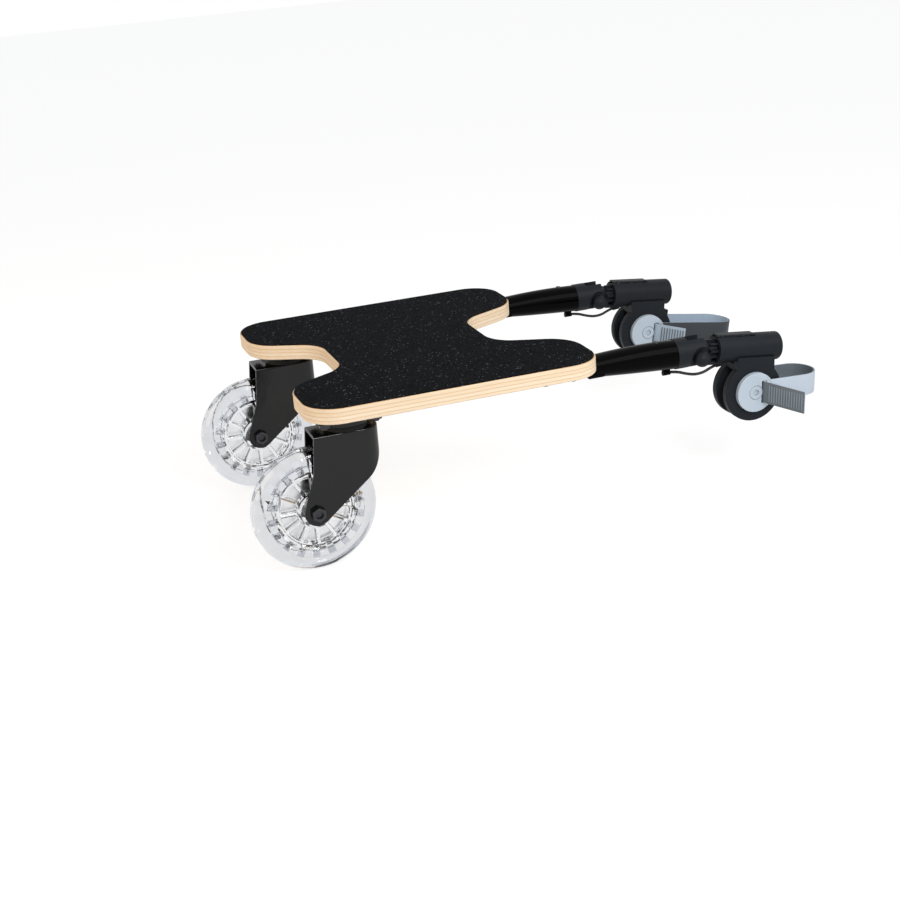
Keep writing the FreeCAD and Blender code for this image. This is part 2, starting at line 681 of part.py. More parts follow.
def make_axle(side, x):
    name = f"axle_{side}_"
    face = FORK_FACE
    shank_length = 2 * FORK_FACE + S.axle_nut_height + S.bolt_end
    shank = bar(name + "shank", (x + face - shank_length, AXLE_Y, S.wheel_radius), ALONG_X, S.axle_radius,
                shank_length)
    head = hexagon(name + "head", (x + face, AXLE_Y, S.wheel_radius), ALONG_X, S.axle_nut_corner,
                   S.axle_nut_height)
    recess = bar(name + "recess", (x + face + S.axle_nut_height / 2, AXLE_Y, S.wheel_radius), ALONG_X,
                 S.axle_radius, S.axle_nut_height)
    keep(f"axle_bolt_{side}", cut(name + "bolt", joined(name + "turned", shank, head), recess))
    nut_start = x - face - S.axle_nut_height
    nut = hexagon(name + "hex", (nut_start, AXLE_Y, S.wheel_radius), ALONG_X, S.axle_nut_corner,
                  S.axle_nut_height)
    thread = bar(name + "thread", (nut_start, AXLE_Y, S.wheel_radius), ALONG_X, S.axle_radius + S.running_gap,
                 S.axle_nut_height)
    keep(f"axle_nut_{side}", cut(name + "nut", nut, thread))
    tube = bar(name + "tube", (x - FORK_INNER, AXLE_Y, S.wheel_radius), ALONG_X, S.sleeve_radius,
               2 * FORK_INNER)
    bore = bar(name + "bore", (x - FORK_INNER, AXLE_Y, S.wheel_radius), ALONG_X,
               S.axle_radius + S.running_gap, 2 * FORK_INNER)
    keep(f"axle_sleeve_{side}", cut(name + "sleeve", tube, bore))


def make_wheel(side, x):
    name = f"wheel_{side}_"

    def ring(label, outer, inner, width, start=None):
        begin = x - width / 2 if start is None else start
        place = (begin, AXLE_Y, S.wheel_radius)
        solid = bar(name + label + "_solid", place, ALONG_X, outer, width)
        hole = bar(name + label + "_hole", place, ALONG_X, inner, width)
        return cut(name + label, solid, hole)

    outside = S.hub_width / 2
    seats = (x - outside, x + outside - S.bearing_width)
    bearings = []
    for index, seat in enumerate(seats):
        bore = S.sleeve_radius + S.running_gap
        bearings.append(ring(f"bearing_{index}", S.bearing_radius, bore, S.bearing_width, seat))
    keep(f"wheel_bearings_{side}", group(name + "bearings", bearings))

    boss = bar(name + "boss", (x - outside, AXLE_Y, S.wheel_radius), ALONG_X, S.hub_boss, S.hub_width)
    rim = ring("rim", S.rim_radius, S.rim_radius - S.rim_thickness, S.rim_width)
    spokes = []
    for step in range(SPOKE_COUNT):
        spoke = doc.addObject("Part::Box", name + "spoke")
        tie(spoke, "Length", S.spoke_width)
        tie(spoke, "Width", S.spoke_thickness)
        tie(spoke, "Height", S.rim_radius - S.rim_thickness / 2)
        turn = Rotation(Vector(1, 0, 0), 360 * step / SPOKE_COUNT)
        corner = turn.multVec(Vector(0, -0.5, 0))
        spoke.Placement = Placement(Vector(), turn)
        place_body(spoke, (
            x - S.spoke_width / 2, AXLE_Y + S.spoke_thickness * corner.y,
            S.wheel_radius + S.spoke_thickness * corner.z,
        ))
        spokes.append(spoke)
    holes = [bar(name + "bore", (x - outside, AXLE_Y, S.wheel_radius), ALONG_X, S.hub_bore, S.hub_width)]
    for index, seat in enumerate(seats):
        holes.append(bar(f"{name}seat_{index}", (seat, AXLE_Y, S.wheel_radius), ALONG_X, S.bearing_radius,
                         S.bearing_width))
    keep(f"hub_{side}", cut(name + "hub", joined(name + "cast", boss, rim, *spokes), *holes))
    tyre = ring("tyre", S.wheel_radius, S.rim_radius, S.wheel_width)
    # the shoulders leave a flat on the tread and on each side
    crown = least(S.tyre_crown, 0.44 * S.wheel_width, 0.9 * (S.wheel_radius - S.rim_radius))
    keep(f"tyre_{side}", rounded(
        name + "crown", tyre, crown,
        lambda edge: near(edge.BoundBox.XLength, 0) and near(edge.BoundBox.ZLength, 2 * S.wheel_radius, 0.5),
    ))


def make_arm(side, x):
    name = f"arm_{side}_"
    sections = []
    stations = (
        (ARM_START, S.arm_root_drop, S.arm_root_width / 2, S.arm_root_height / 2),
        (FRONT_EDGE + S.arm_middle, S.arm_middle_drop, S.arm_middle_width / 2, S.arm_middle_height / 2),
        (COLLAR_START, S.arm_drop, S.arm_end_radius, S.arm_end_radius),
    )
    for y, drop, across, up in stations:
        sections.append(primitive("Ellipse", name + "section", (x, y, DECK_UNDER - drop), SECTION,
                                  MajorRadius=across, MinorRadius=up))
    tube = doc.addObject("Part::Loft", name + "tube")
    tube.Sections = sections
    tube.Solid = True
    shoulder_low = DECK_UNDER - S.shoulder_height
    shoulder = rounded(
        name + "shoulder",
        block(name + "shoulder_block",
              (x - S.shoulder_width / 2, FRONT_EDGE - S.shoulder_length, shoulder_low),
              (x + S.shoulder_width / 2, ARM_START + S.shoulder_length, DECK_UNDER - S.fit_gap)),
        S.shoulder_height / 3,
        lambda edge: near(edge.BoundBox.ZMax, shoulder_low) and near(edge.BoundBox.XLength, 0)
        or near(edge.BoundBox.ZMax, shoulder_low) and edge.BoundBox.YMax < float(FRONT_EDGE),
    )
    tongue = block(
        name + "tongue",
        (x - S.tongue_width / 2, FRONT_EDGE - S.tongue_length, DECK_UNDER - S.tongue_thickness),
        (x + S.tongue_width / 2, ARM_START + S.shoulder_length, DECK_UNDER),
    )
    eye_front = COLLAR_START - S.eye_back
    eye_rear = eye_front - S.eye_length
    eye_z = ARM_AXIS - S.eye_drop
    eye = bar(name + "eye", (x, eye_rear, eye_z), ALONG_Y, S.eye_radius, S.eye_length)
    eye_web = block(name + "eye_web", (x - S.tether_radius, eye_rear, eye_z),
                    (x + S.tether_radius, eye_front, ARM_AXIS - S.plug_radius - S.leaf))
    bore = bar(name + "bore", (x, COLLAR_START - S.plug_length - 1, ARM_AXIS), ALONG_Y,
               S.plug_radius + S.running_gap, S.plug_length + 2)
    button_hole = bar(name + "button_hole", (x, COLLAR_START - S.button_back, ARM_AXIS), ALONG_Z,
                      S.button_radius + S.button_play, BUTTON_TOP + 2)
    holes = [bore, button_hole]
    for step in (0, 1):
        y = FRONT_EDGE - S.arm_bolt_first - step * S.arm_bolt_pitch
        holes.append(bar(name + "bolt_hole", (x, y, DECK_UNDER - S.tongue_thickness), ALONG_Z,
                         S.bolt_radius + S.fit_gap, S.tongue_thickness))
    moulding = joined(name + "moulding", tube, shoulder, tongue, eye, eye_web)
    keep(f"arm_{side}", cut(name + "bored", moulding, *holes))


def make_end_fitting(side, x):
    name = f"fitting_{side}_"
    collar = bar(name + "collar", (x, COLLAR_START, ARM_AXIS), ALONG_Y, S.collar_radius, S.collar_length)
    collar = rounded(
        name + "rims", collar, S.collar_edge,
        lambda edge: near(edge.BoundBox.YLength, 0) and edge.BoundBox.XLength > 1,
    )
    plug = bar(name + "plug", (x, COLLAR_START - S.plug_length, ARM_AXIS), ALONG_Y, S.plug_radius,
               S.plug_length + S.collar_edge)
    half = S.fork_slot / 2
    slot = block(name + "slot", (x - half, COLLAR_FRONT - S.fork_slot_depth, ARM_AXIS - S.collar_radius),
                 (x + half, COLLAR_FRONT + 1, ARM_AXIS + S.collar_radius))
    cutout = bar(name + "cutout", (x + S.pin_seat, PIN_Y, PIN_Z), ALONG_X, S.pin_cutout, S.collar_radius)
    recess = bar(name + "recess", (x - S.clip_seat - S.collar_radius, PIN_Y, PIN_Z), ALONG_X,
                 S.clip_recess, S.collar_radius)
    pin_hole = bar(name + "pin_hole", (x - S.collar_radius, PIN_Y, PIN_Z), ALONG_X,
                   S.pin_radius + S.running_gap, 2 * S.collar_radius)
    well = bar(name + "well", (x, COLLAR_START - S.button_back, ARM_AXIS - S.button_well), ALONG_Z,
               S.button_flange + S.button_play, S.plug_radius + S.button_well)
    keep(f"end_fitting_{side}", cut(name + "machined", joined(name + "turned", collar, plug),
                                    slot, cutout, recess, pin_hole, well))


def make_snap_button(side, x):
    name = f"button_{side}_"
    y = COLLAR_START - S.button_back
    flange_top = ARM_AXIS + BUTTON_FLANGE_TOP
    flange_low = flange_top - S.button_flange_height
    flange = bar(name + "flange", (x, y, flange_low), ALONG_Z, S.button_flange, S.button_flange_height)
    head_height = ARM_AXIS + BUTTON_TOP - flange_low
    head = rounded(
        name + "dome", bar(name + "head", (x, y, flange_low), ALONG_Z, S.button_radius, head_height),
        S.button_radius / 2,
        lambda edge: near(edge.BoundBox.ZMin, flange_low + head_height),
    )
    keep(f"snap_button_{side}", joined(name + "button", flange, head))
    # a strip folded twice, from the floor of the well to the flange
    reach = S.button_flange - 2 * S.leaf
    low = -S.button_well
    high = BUTTON_FLANGE_TOP - S.button_flange_height
    third = (high - low) / 3
    corners = (
        (-reach, low), (reach, low + third - S.leaf), (-reach, low + 2 * third - S.leaf),
        (reach, high - S.leaf), (reach, high), (-reach - S.leaf, low + 2 * third - S.leaf / 2),
        (reach - 2 * S.leaf, low + third - S.leaf / 2), (-reach, low + S.leaf),
    )
    spring = leaf_body(name + "spring", corners, S.button_flange)
    place_body(spring, (x, y, ARM_AXIS))
    keep(f"button_spring_{side}", spring)


def make_hinge_pin(side, x):
    name = f"pin_{side}_"
    clip_face = S.clip_seat + S.clip_thickness
    end = clip_face + S.leaf
    shank = bar(name + "shank", (x - end, PIN_Y, PIN_Z), ALONG_X, S.pin_radius, end + S.pin_seat)
    ball = primitive("Sphere", name + "ball", (x + S.pin_head_out, PIN_Y, PIN_Z), ALONG_Z,
                     Radius=S.pin_head)
    keeper = bar(name + "seat", (x + S.pin_seat, PIN_Y, PIN_Z), ALONG_X, S.pin_head, 2 * S.pin_head)
    keep(f"hinge_pin_{side}", joined(name + "pin", shank, shared(name + "head", ball, keeper)))
    disc = bar(name + "clip_disc", (x - clip_face, PIN_Y, PIN_Z), ALONG_X, S.clip_radius, S.clip_thickness)
    hole = bar(name + "clip_hole", (x - clip_face, PIN_Y, PIN_Z), ALONG_X, S.pin_radius + S.running_gap,
               S.clip_thickness)
    keep(f"pin_clip_{side}", cut(name + "clip", disc, hole))


def rod_origin(x):
    """The point on the rod's axis right above the hinge pin, before the connector tilts."""
    lean = math.radians(float(S.tilt))
    return x, PIN_Y + S.pin_drop * math.sin(lean), PIN_Z + S.pin_drop * math.cos(lean)


def seat(piece, x):
    """Put a connector piece, drawn with its rod level along Y and the pin below Y 0, into its tilted place."""
    piece.Placement = Placement(Vector(), Rotation(Vector(1, 0, 0), -float(S.tilt)))
    place_body(piece, rod_origin(x))
    return piece


def seat_turned(piece, x, turn):
    """Put a clamp piece, drawn like the rest of the connector, into place, turned about the disc's axis."""
    lean = math.radians(float(S.tilt))
    swing = math.radians(float(turn))
    ahead = S.disc_ahead * (1 - math.cos(swing)) - S.disc_below * math.sin(swing)
    up = -S.disc_ahead * math.sin(swing) - S.disc_below * (1 - math.cos(swing))
    x, y, z = rod_origin(x)
    piece.Placement = Placement(Vector(), Rotation(Vector(1, 0, 0), float(turn) - float(S.tilt)))
    place_body(piece, (
        x, y + ahead * math.cos(lean) + up * math.sin(lean), z + up * math.cos(lean) - ahead * math.sin(lean),
    ))
    return piece


def make_rod(side, x):
    name = f"rod_{side}_"
    width = S.fork_slot - 2 * S.knuckle_play
    knuckle = bar(name + "knuckle", (-width / 2, 0, -S.pin_drop), ALONG_X, S.knuckle_radius, width)
    neck = block(name + "neck", (-S.neck_width / 2, 0, -S.pin_drop - S.knuckle_radius),
                 (S.neck_width / 2, S.fin_start + 1, S.rod_core))
    length = ROD_END - S.fin_start
    core = bar(name + "core", (0, S.fin_start, 0), ALONG_Y, S.rod_core, length)
    blades = []
    for step in range(FIN_PAIRS):
        blade = doc.addObject("Part::Box", name + "blade")
        tie(blade, "Length", S.fin_thickness)
        tie(blade, "Width", length)
        # twice the envelope's height, which trims it
        tie(blade, "Height", 4 * S.fin_radius)
        turn = Rotation(Vector(0, 1, 0), 180 * step / FIN_PAIRS)
        blade.Placement = Placement(Vector(), turn)
        across = turn.multVec(Vector(-0.5, 0, 0))
        up = turn.multVec(Vector(0, 0, -2))
        place_body(blade, (
            S.fin_thickness * across.x + S.fin_radius * up.x, S.fin_start,
            S.fin_thickness * across.z + S.fin_radius * up.z,
        ))
        blades.append(blade)
    envelope = bar(name + "envelope", (0, S.fin_start, 0), ALONG_Y, S.fin_radius, length)
    fins = shared(name + "fins", envelope, joined(name + "blades", *blades))
    key_top = -S.key_low + S.key_thickness
    half = S.key_width / 2
    key = block(name + "key", (-half, S.fin_start, -S.key_low), (half, S.key_end, key_top))
    riser = block(name + "riser", (-half, S.fin_start, -S.key_low),
                  (half, S.fin_start + S.key_thickness, -S.rod_core / 2))
    eye = bar(name + "eye", (0, KEY_EYE_Y, KEY_EYE_Z),
              Rotation(Vector(1, 0, 0), -90 + 2 * float(S.tilt)), S.eye_radius, S.eye_length)
    pin_hole = bar(name + "pin_hole", (-width, 0, -S.pin_drop), ALONG_X, S.pin_radius + S.running_gap,
                   2 * width)
    moulding = joined(name + "moulding", knuckle, neck, core, fins, key, riser, eye)
    keep(f"rod_{side}", seat(cut(name + "drilled", moulding, pin_hole), x))


def make_housing(side, x):
    name = f"housing_{side}_"
    end = S.housing_start + S.housing_length
    tube = rounded(
        name + "nose",
        bar(name + "tube", (0, S.housing_start, 0), ALONG_Y, S.housing_radius, S.housing_length),
        S.housing_edge, lambda edge: near(edge.BoundBox.YMin, end),
    )
    solids = [tube]
    for label, start in (("near", S.ear_slot / 2), ("far", -EAR_FACE)):
        disc = rounded(
            name + label + "_rim",
            bar(name + label + "_ear", (start, S.disc_ahead, -S.disc_below), ALONG_X, S.ear_radius,
                S.ear_thickness),
            S.ear_edge, lambda edge: near(edge.BoundBox.XLength, 0),
        )
        solids.append(disc)
        solids.append(block(name + label + "_neck", (start, S.disc_ahead - S.neck_back, -S.disc_below),
                            (start + S.ear_thickness, S.disc_ahead + S.neck_front, -S.housing_radius / 2)))
    web_low = -S.housing_radius - S.web_height
    solids.append(block(name + "web", (-S.ear_slot / 2, S.disc_ahead - S.neck_back, web_low),
                        (S.ear_slot / 2, S.disc_ahead + S.neck_front, -S.housing_radius / 2)))
    bore = bar(name + "bore", (0, S.housing_start - 1, 0), ALONG_Y, HOUSING_BORE,
               S.housing_length - S.housing_nose + 1)
    key_half = S.key_width / 2 + S.key_play
    key_slot = block(name + "key_slot", (-key_half, S.housing_start - 1, -S.housing_radius - 1),
                     (key_half, S.housing_start + S.key_slot, -S.rod_core))
    tab_half = S.tab_width / 2 + S.tab_play
    well = block(name + "well", (-tab_half, S.housing_start - 1, TAB_FLOOR),
                 (tab_half, S.housing_start + S.tab_length + 2 * S.tab_play, TAB_TOP))
    disc_bore = bar(name + "disc_bore", (-S.ear_radius, S.disc_ahead, -S.disc_below), ALONG_X,
                    S.core_radius + S.running_gap, 2 * S.ear_radius)
    keep(f"housing_{side}", seat(cut(name + "bored", joined(name + "moulding", *solids),
                                     bore, key_slot, well, disc_bore), x))


def make_release_tab(side, x):
    name = f"tab_{side}_"
    start = S.housing_start + S.tab_play
    slab = block(name + "slab", (-S.tab_width / 2, start, TAB_LOW),
                 (S.tab_width / 2, start + S.tab_length, TAB_TOP))
    tab = rounded(name + "tab", slab, S.tab_edge, lambda edge: near(edge.BoundBox.ZMin, TAB_TOP))
    keep(f"release_tab_{side}", seat(tab, x))
    # a bowed strip, feet on the floor of the well and its flat top under the tab
    foot = start + S.tab_length / 5
    toe = start + S.tab_length * 0.8
    rise = S.tab_length / 6
    corners = (
        (foot, TAB_FLOOR), (foot + S.leaf, TAB_FLOOR), (foot + rise, TAB_LOW - S.leaf),
        (toe - rise, TAB_LOW - S.leaf), (toe - S.leaf, TAB_FLOOR), (toe, TAB_FLOOR),
        (toe - rise + S.leaf, TAB_LOW), (foot + rise - S.leaf, TAB_LOW),
    )
    keep(f"tab_spring_{side}", seat(leaf_body(name + "spring", corners, S.tab_width / 2), x))


def make_clamp(side, x, turn):
    """The turning disc with its drum, screw and nut, about the disc's axis."""
    name = f"clamp_{side}_"
    y = S.disc_ahead
    z = -S.disc_below
    middle = S.ear_slot / 2

    core = bar(name + "core", (middle, y, z), ALONG_X, S.core_radius, CAP_SEAT - middle)
    cap = rounded(
        name + "cap_rim", bar(name + "cap", (CAP_SEAT, y, z), ALONG_X, S.cap_radius, S.cap_height),
        S.cap_edge, lambda edge: near(edge.BoundBox.XMin, CAP_FACE),
    )
    half = S.strap_width / 2 + S.strap_play
    tunnel_low = STRAP_LINE - S.strap_thickness / 2 - S.strap_play
    tunnel_high = STRAP_LINE + S.strap_thickness / 2 + S.strap_play
    tunnel_back = y + TAIL_EXIT - S.tail_bend - S.strap_thickness
    tunnel = block(name + "tunnel", (tunnel_low, tunnel_back, z - half),
                   (tunnel_high, y + S.cap_radius + 1, z + half))
    exit_slot = block(name + "exit", (tunnel_low, tunnel_back, z - half),
                      (CAP_FACE + 1, y + TAIL_EXIT + S.strap_play, z + half))
    through = bar(name + "through", (middle - 1, y, z), ALONG_X, S.screw_radius + S.fit_gap, CAP_FACE)
    head_seat = bar(name + "head_seat", (CAP_FACE - S.screw_head_height, y, z), ALONG_X,
                    S.screw_head + S.screw_head_gap, S.cap_height)
    disc = cut(name + "disc", joined(name + "disc_solid", core, cap), tunnel, exit_slot, through, head_seat)
    keep(f"clamp_disc_{side}", seat_turned(disc, x, turn))

    flange_face = DRUM_SEAT - S.flange_height
    drum = bar(name + "drum", (DRUM_SEAT, y, z), ALONG_X, S.core_radius, middle - DRUM_SEAT)
    flange = bar(name + "flange", (flange_face, y, z), ALONG_X, S.cap_radius, S.flange_height)
    lug_outer = -ANCHOR_LINE - S.strap_thickness / 2 - S.lug_wall
    lug = rounded(
        name + "lug",
        block(name + "lug_block", (lug_outer, y + S.lug_back, z - S.lug_height / 2),
              (DRUM_SEAT, y + S.lug_length, z + S.lug_height / 2)),
        S.lug_wall / 2,
        lambda edge: near(edge.BoundBox.XMax, lug_outer) or near(edge.BoundBox.YMin, y + S.lug_length),
    )
    strap_slot = block(
        name + "strap_slot",
        (-ANCHOR_LINE - S.strap_thickness / 2 - S.fit_gap, y + S.lug_length - S.lug_grip, z - half),
        (-ANCHOR_LINE + S.strap_thickness / 2 + S.fit_gap, y + S.lug_length + 1, z + half),
    )
    drum_hole = bar(name + "drum_hole", (lug_outer - 1, y, z), ALONG_X, S.screw_radius + S.fit_gap,
                    2 * S.cap_radius)
    nut_seat = hexagon(name + "nut_seat", (flange_face - 1, y, z), ALONG_X, S.clamp_nut_corner + S.fit_gap,
                       S.clamp_nut_height + 1)
    anchor = cut(name + "drum_cut", joined(name + "drum_solid", drum, flange, lug), strap_slot, drum_hole,
                 nut_seat)
    keep(f"clamp_drum_{side}", seat_turned(anchor, x, turn))

    head_low = CAP_FACE - S.screw_head_height
    shank = bar(name + "screw_shank", (flange_face, y, z), ALONG_X, S.screw_radius, head_low - flange_face)
    head = bar(name + "screw_head", (head_low, y, z), ALONG_X, S.screw_head, S.screw_head_height)
    socket = hexagon(name + "socket", (head_low + S.fit_gap, y, z), ALONG_X, S.screw_radius,
                     S.screw_head_height)
    screw = cut(name + "screw", joined(name + "screw_solid", shank, head), socket)
    keep(f"clamp_screw_{side}", seat_turned(screw, x, turn))
    nut = hexagon(name + "nut_hex", (flange_face, y, z), ALONG_X, S.clamp_nut_corner, S.clamp_nut_height)
    thread = bar(name + "nut_thread", (flange_face, y, z), ALONG_X, S.screw_radius + S.running_gap,
                 S.clamp_nut_height)
    keep(f"clamp_nut_{side}", seat_turned(cut(name + "nut", nut, thread), x, turn))


def corner_arc(before, corner, after, radius):
    """Where a round corner of this radius starts and ends between two runs, and its centre."""
    back = (before - corner).normalize()
    ahead = (after - corner).normalize()
    turn = math.pi - back.getAngle(ahead)
    reach = radius * math.tan(turn / 2)
    start = corner + back * reach
    end = corner + ahead * reach
    inward = (back + ahead).normalize()
    centre = corner + inward * (radius / math.cos(turn / 2))
    return start, end, centre


def band_face(points, radii, thickness):
    """A flat band's outline: straight runs with round corners, the same thickness all along."""
    arcs = []
    for index in range(1, len(points) - 1):
        before, corner, after = points[index - 1:index + 2]
        arcs.append(corner_arc(before, corner, after, radii[index - 1]))
    up = Vector(0, 0, 1)

    def side_edges(offset):
        """The edges of one side, the middle line moved by an offset to the left."""
        edges = []
        begin = points[0]
        ahead = (points[1] - points[0]).normalize()
        for index, (start, end, centre) in enumerate(arcs):
            left = up.cross(ahead)
            edges.append(Part.makeLine(begin + left * offset, start + left * offset))
            following = (points[index + 2] - points[index + 1]).normalize()
            new_left = up.cross(following)
            first = start + left * offset
            last = end + new_left * offset
            toward = ((first - centre) + (last - centre)).normalize()
            middle = centre + toward * (first - centre).Length
            edges.append(Part.Arc(first, middle, last).toShape())
            begin, ahead = end, following
        left = up.cross(ahead)
        edges.append(Part.makeLine(begin + left * offset, points[-1] + left * offset))
        return edges, left

    left_edges, last_left = side_edges(thickness / 2)
    right_edges, last_left = side_edges(-thickness / 2)
    ends = [
        Part.makeLine(right_edges[0].Vertexes[0].Point, left_edges[0].Vertexes[0].Point),
        Part.makeLine(right_edges[-1].Vertexes[-1].Point, left_edges[-1].Vertexes[-1].Point),
    ]
    outline = Part.Wire(Part.__sortEdges__(left_edges + right_edges + ends))
    return Part.Face(outline)


def make_strap(side, x, loop_ahead, tail, angle, turn):
    """The ladder strap: out of its anchor, round the front, back into the disc and out as a toothed tail."""
    name = f"strap_{side}_"
    y = float(S.disc_ahead)
    anchor = -float(ANCHOR_LINE)
    inside = float(STRAP_LINE)
    bend = float(LOOP_BEND)
    front = y + float(loop_ahead) + bend
    lean = math.radians(float(angle))
    out = Vector(math.cos(lean), math.sin(lean), 0)
    # the turn starts at the exit, so its corner lies this far beyond it
    turn_reach = float(S.tail_bend) * math.tan((math.pi / 2 + lean) / 2)
    turning_point = Vector(inside, y + float(TAIL_EXIT) - turn_reach, 0)
    tail_start = turning_point + out * turn_reach
    tail_end = tail_start + out * float(tail)
    points = [
        Vector(anchor, y + float(S.lug_length - S.lug_grip + S.strap_play), 0),
        Vector(anchor, front, 0),
        Vector(inside, front, 0),
        turning_point,
        tail_end,
    ]
    # just under a half circle, so that a short straight joins the two quarters
    quarter = bend * 0.999
    radii = [quarter, quarter, float(S.tail_bend)]
    face = band_face(points, radii, float(S.strap_thickness))
    width = float(S.strap_width)
    low = -float(S.disc_below) - width / 2
    strap = face.extrude(Vector(0, 0, width))
    strap.translate(Vector(0, 0, low))
    # teeth across the tail's rear face
    rear = out.cross(Vector(0, 0, 1))
    teeth = []
    margin = float(S.tooth_margin)
    pitch = float(S.tooth_pitch)
    tooth_top = float(S.strap_thickness / 2 + S.tooth_height)
    count = int((float(tail) - pitch) / pitch)
    for step in range(count):
        tooth = Part.makeBox(float(S.tooth_length), float(S.tooth_height) + 0.2, width - 2 * margin)
        corner = tail_end - out * (pitch * (step + 1)) + rear * tooth_top
        tooth.Placement = Placement(
            Vector(corner.x, corner.y, low + margin), Rotation(Vector(0, 0, 1), float(angle))
        )
        teeth.append(tooth)
    feature = doc.addObject("Part::Feature", name + "band")
    feature.Shape = strap.fuse(teeth).removeSplitter()
    keep(f"strap_{side}", seat_turned(feature, x, turn))


def make_tether(side, x):
    """The thin cord that hangs between the socket under the arm and the socket under the rod's key."""
    name = f"tether_{side}"
    gap = float(S.tether_gap)
    start = Vector(float(x), float(COLLAR_START - S.eye_back) + gap, float(ARM_AXIS - S.eye_drop))
    # route: forward of and below the socket, chosen by hand
    steps = ((0, 0), (8.5, -1.1), (18, -4.9), (28.5, -7.7), (38.5, -7.0), (46, -3.6))
    points = [start + Vector(0, forward, rise) for forward, rise in steps]
    eye = Vector(0, float(KEY_EYE_Y), float(KEY_EYE_Z))
    origin = Vector(*map(float, rod_origin(x)))
    eye = Rotation(Vector(1, 0, 0), -float(S.tilt)).multVec(eye) + origin
    points.append(eye + (points[-1] - eye).normalize() * gap)
    edges = []
    begin = points[0]
    for before, corner, after in zip(points, points[1:], points[2:]):
        back, ahead = (before - corner), (after - corner)
        turn = math.pi - back.getAngle(ahead)
        radius = 0.45 * min(back.Length, ahead.Length) / math.tan(turn / 2)
        first, last, centre = corner_arc(before, corner, after, radius)
        toward = (first + last) * 0.5 - centre
        middle = centre + toward.normalize() * radius
        edges.append(Part.makeLine(begin, first))
        edges.append(Part.Arc(first, middle, last).toShape())
        begin = last
        print(f"{name} bend radius {radius:.1f}")
    edges.append(Part.makeLine(begin, points[-1]))
    path = Part.Wire(edges)
    profile = Part.Wire(Part.makeCircle(float(S.tether_radius), points[0], points[1] - points[0]))
    cord = path.makePipeShell([profile], True, False)
    expected = math.pi * float(S.tether_radius) ** 2 * path.Length
    print(f"{name} length {path.Length:.1f} volume {cord.Volume:.1f} of {expected:.1f}")
    feature = doc.addObject("Part::Feature", name)
    feature.Shape = cord
    keep(name, feature)


def check_and_write():
    doc.recompute()
    for item in doc.Objects:
        if "Invalid" in item.State or "Error" in item.State:
            raise RuntimeError(f"{item.Label} failed: {item.State}")
    for piece in parts:
        if piece.Shape.isNull() or not piece.Shape.isValid():
            raise RuntimeError(f"{piece.Label} has no valid shape")
    os.makedirs("parts", exist_ok=True)
    for piece in parts:
        piece.Shape.exportStep(f"parts/{piece.Label}.step")
    print(f"{len(parts)} parts written")


make_deck()
for side, sign, loop_ahead, tail, tail_angle, turn in (
    ("left", -1, S.loop_left, S.tail_left, S.tail_left_angle, S.turn_left),
    ("right", 1, S.loop_right, S.tail_right, S.tail_right_angle, S.turn_right),
):
    caster = caster_x(sign)
    make_caster_plate(side, caster)
    make_kingpin(side, caster)
    make_swivel_balls(side, caster)
    make_fork(side, caster)
    make_axle(side, caster)
    make_wheel(side, caster)
    arm = arm_x(sign)
    make_arm(side, arm)
    make_end_fitting(side, arm)
    make_snap_button(side, arm)
    make_hinge_pin(side, arm)
    make_rod(side, arm)
    make_housing(side, arm)
    make_release_tab(side, arm)
    make_clamp(side, arm, turn)
    make_strap(side, arm, loop_ahead, tail, tail_angle, turn)
    make_tether(side, arm)
check_and_write()
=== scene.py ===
"""Dresses the buggy board's frame: clear wheels, ladder straps, tethers, finishes and a small studio."""

import math

import bmesh
import bpy
from bpy.props import FloatProperty, FloatVectorProperty, IntProperty, PointerProperty
from bpy.types import Operator, Panel, PropertyGroup
from mathutils import Matrix, Vector


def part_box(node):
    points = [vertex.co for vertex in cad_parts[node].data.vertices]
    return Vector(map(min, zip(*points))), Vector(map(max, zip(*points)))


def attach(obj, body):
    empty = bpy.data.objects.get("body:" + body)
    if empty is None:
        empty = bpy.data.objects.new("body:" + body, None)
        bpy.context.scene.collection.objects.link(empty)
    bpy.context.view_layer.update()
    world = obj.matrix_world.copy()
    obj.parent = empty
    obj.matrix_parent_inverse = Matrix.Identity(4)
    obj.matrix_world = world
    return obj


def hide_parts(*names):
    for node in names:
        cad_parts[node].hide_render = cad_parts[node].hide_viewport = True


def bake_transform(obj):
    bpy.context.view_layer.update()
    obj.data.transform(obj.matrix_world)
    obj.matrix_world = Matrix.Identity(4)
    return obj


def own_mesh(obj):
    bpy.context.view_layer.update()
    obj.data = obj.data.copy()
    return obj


bl_info = {
    "name": "Buggy Board",
    "version": (1, 0, 0),
    "blender": (4, 5, 0),
    "location": "View3D > Sidebar > Buggy Board",
    "description": "Dresses the buggy board's frame with wheels, straps, tethers and finishes",
    "category": "Object",
}

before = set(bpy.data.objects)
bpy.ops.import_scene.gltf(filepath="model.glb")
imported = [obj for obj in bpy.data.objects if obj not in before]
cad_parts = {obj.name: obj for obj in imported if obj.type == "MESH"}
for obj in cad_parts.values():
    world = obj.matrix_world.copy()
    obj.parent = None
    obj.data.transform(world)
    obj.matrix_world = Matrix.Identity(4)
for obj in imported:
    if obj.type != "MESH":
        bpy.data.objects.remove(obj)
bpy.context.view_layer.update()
SIDES = ("left", "right")
MM = 0.001


def middle_of(node):
    low, high = (Vector(corner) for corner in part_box(node))
    return (low + high) / 2


def span_of(node):
    low, high = (Vector(corner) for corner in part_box(node))
    return high - low


def colour_property(name, description, default):
    return FloatVectorProperty(name=name, description=description, default=default, subtype="COLOR", size=3,
                               min=0.0, max=1.0)


def length_property(name, description, default):
    return FloatProperty(name=name, description=description, default=default, unit="LENGTH", precision=4)


def power_property(name, description, default):
    return FloatProperty(name=name, description=description, default=default, unit="POWER")


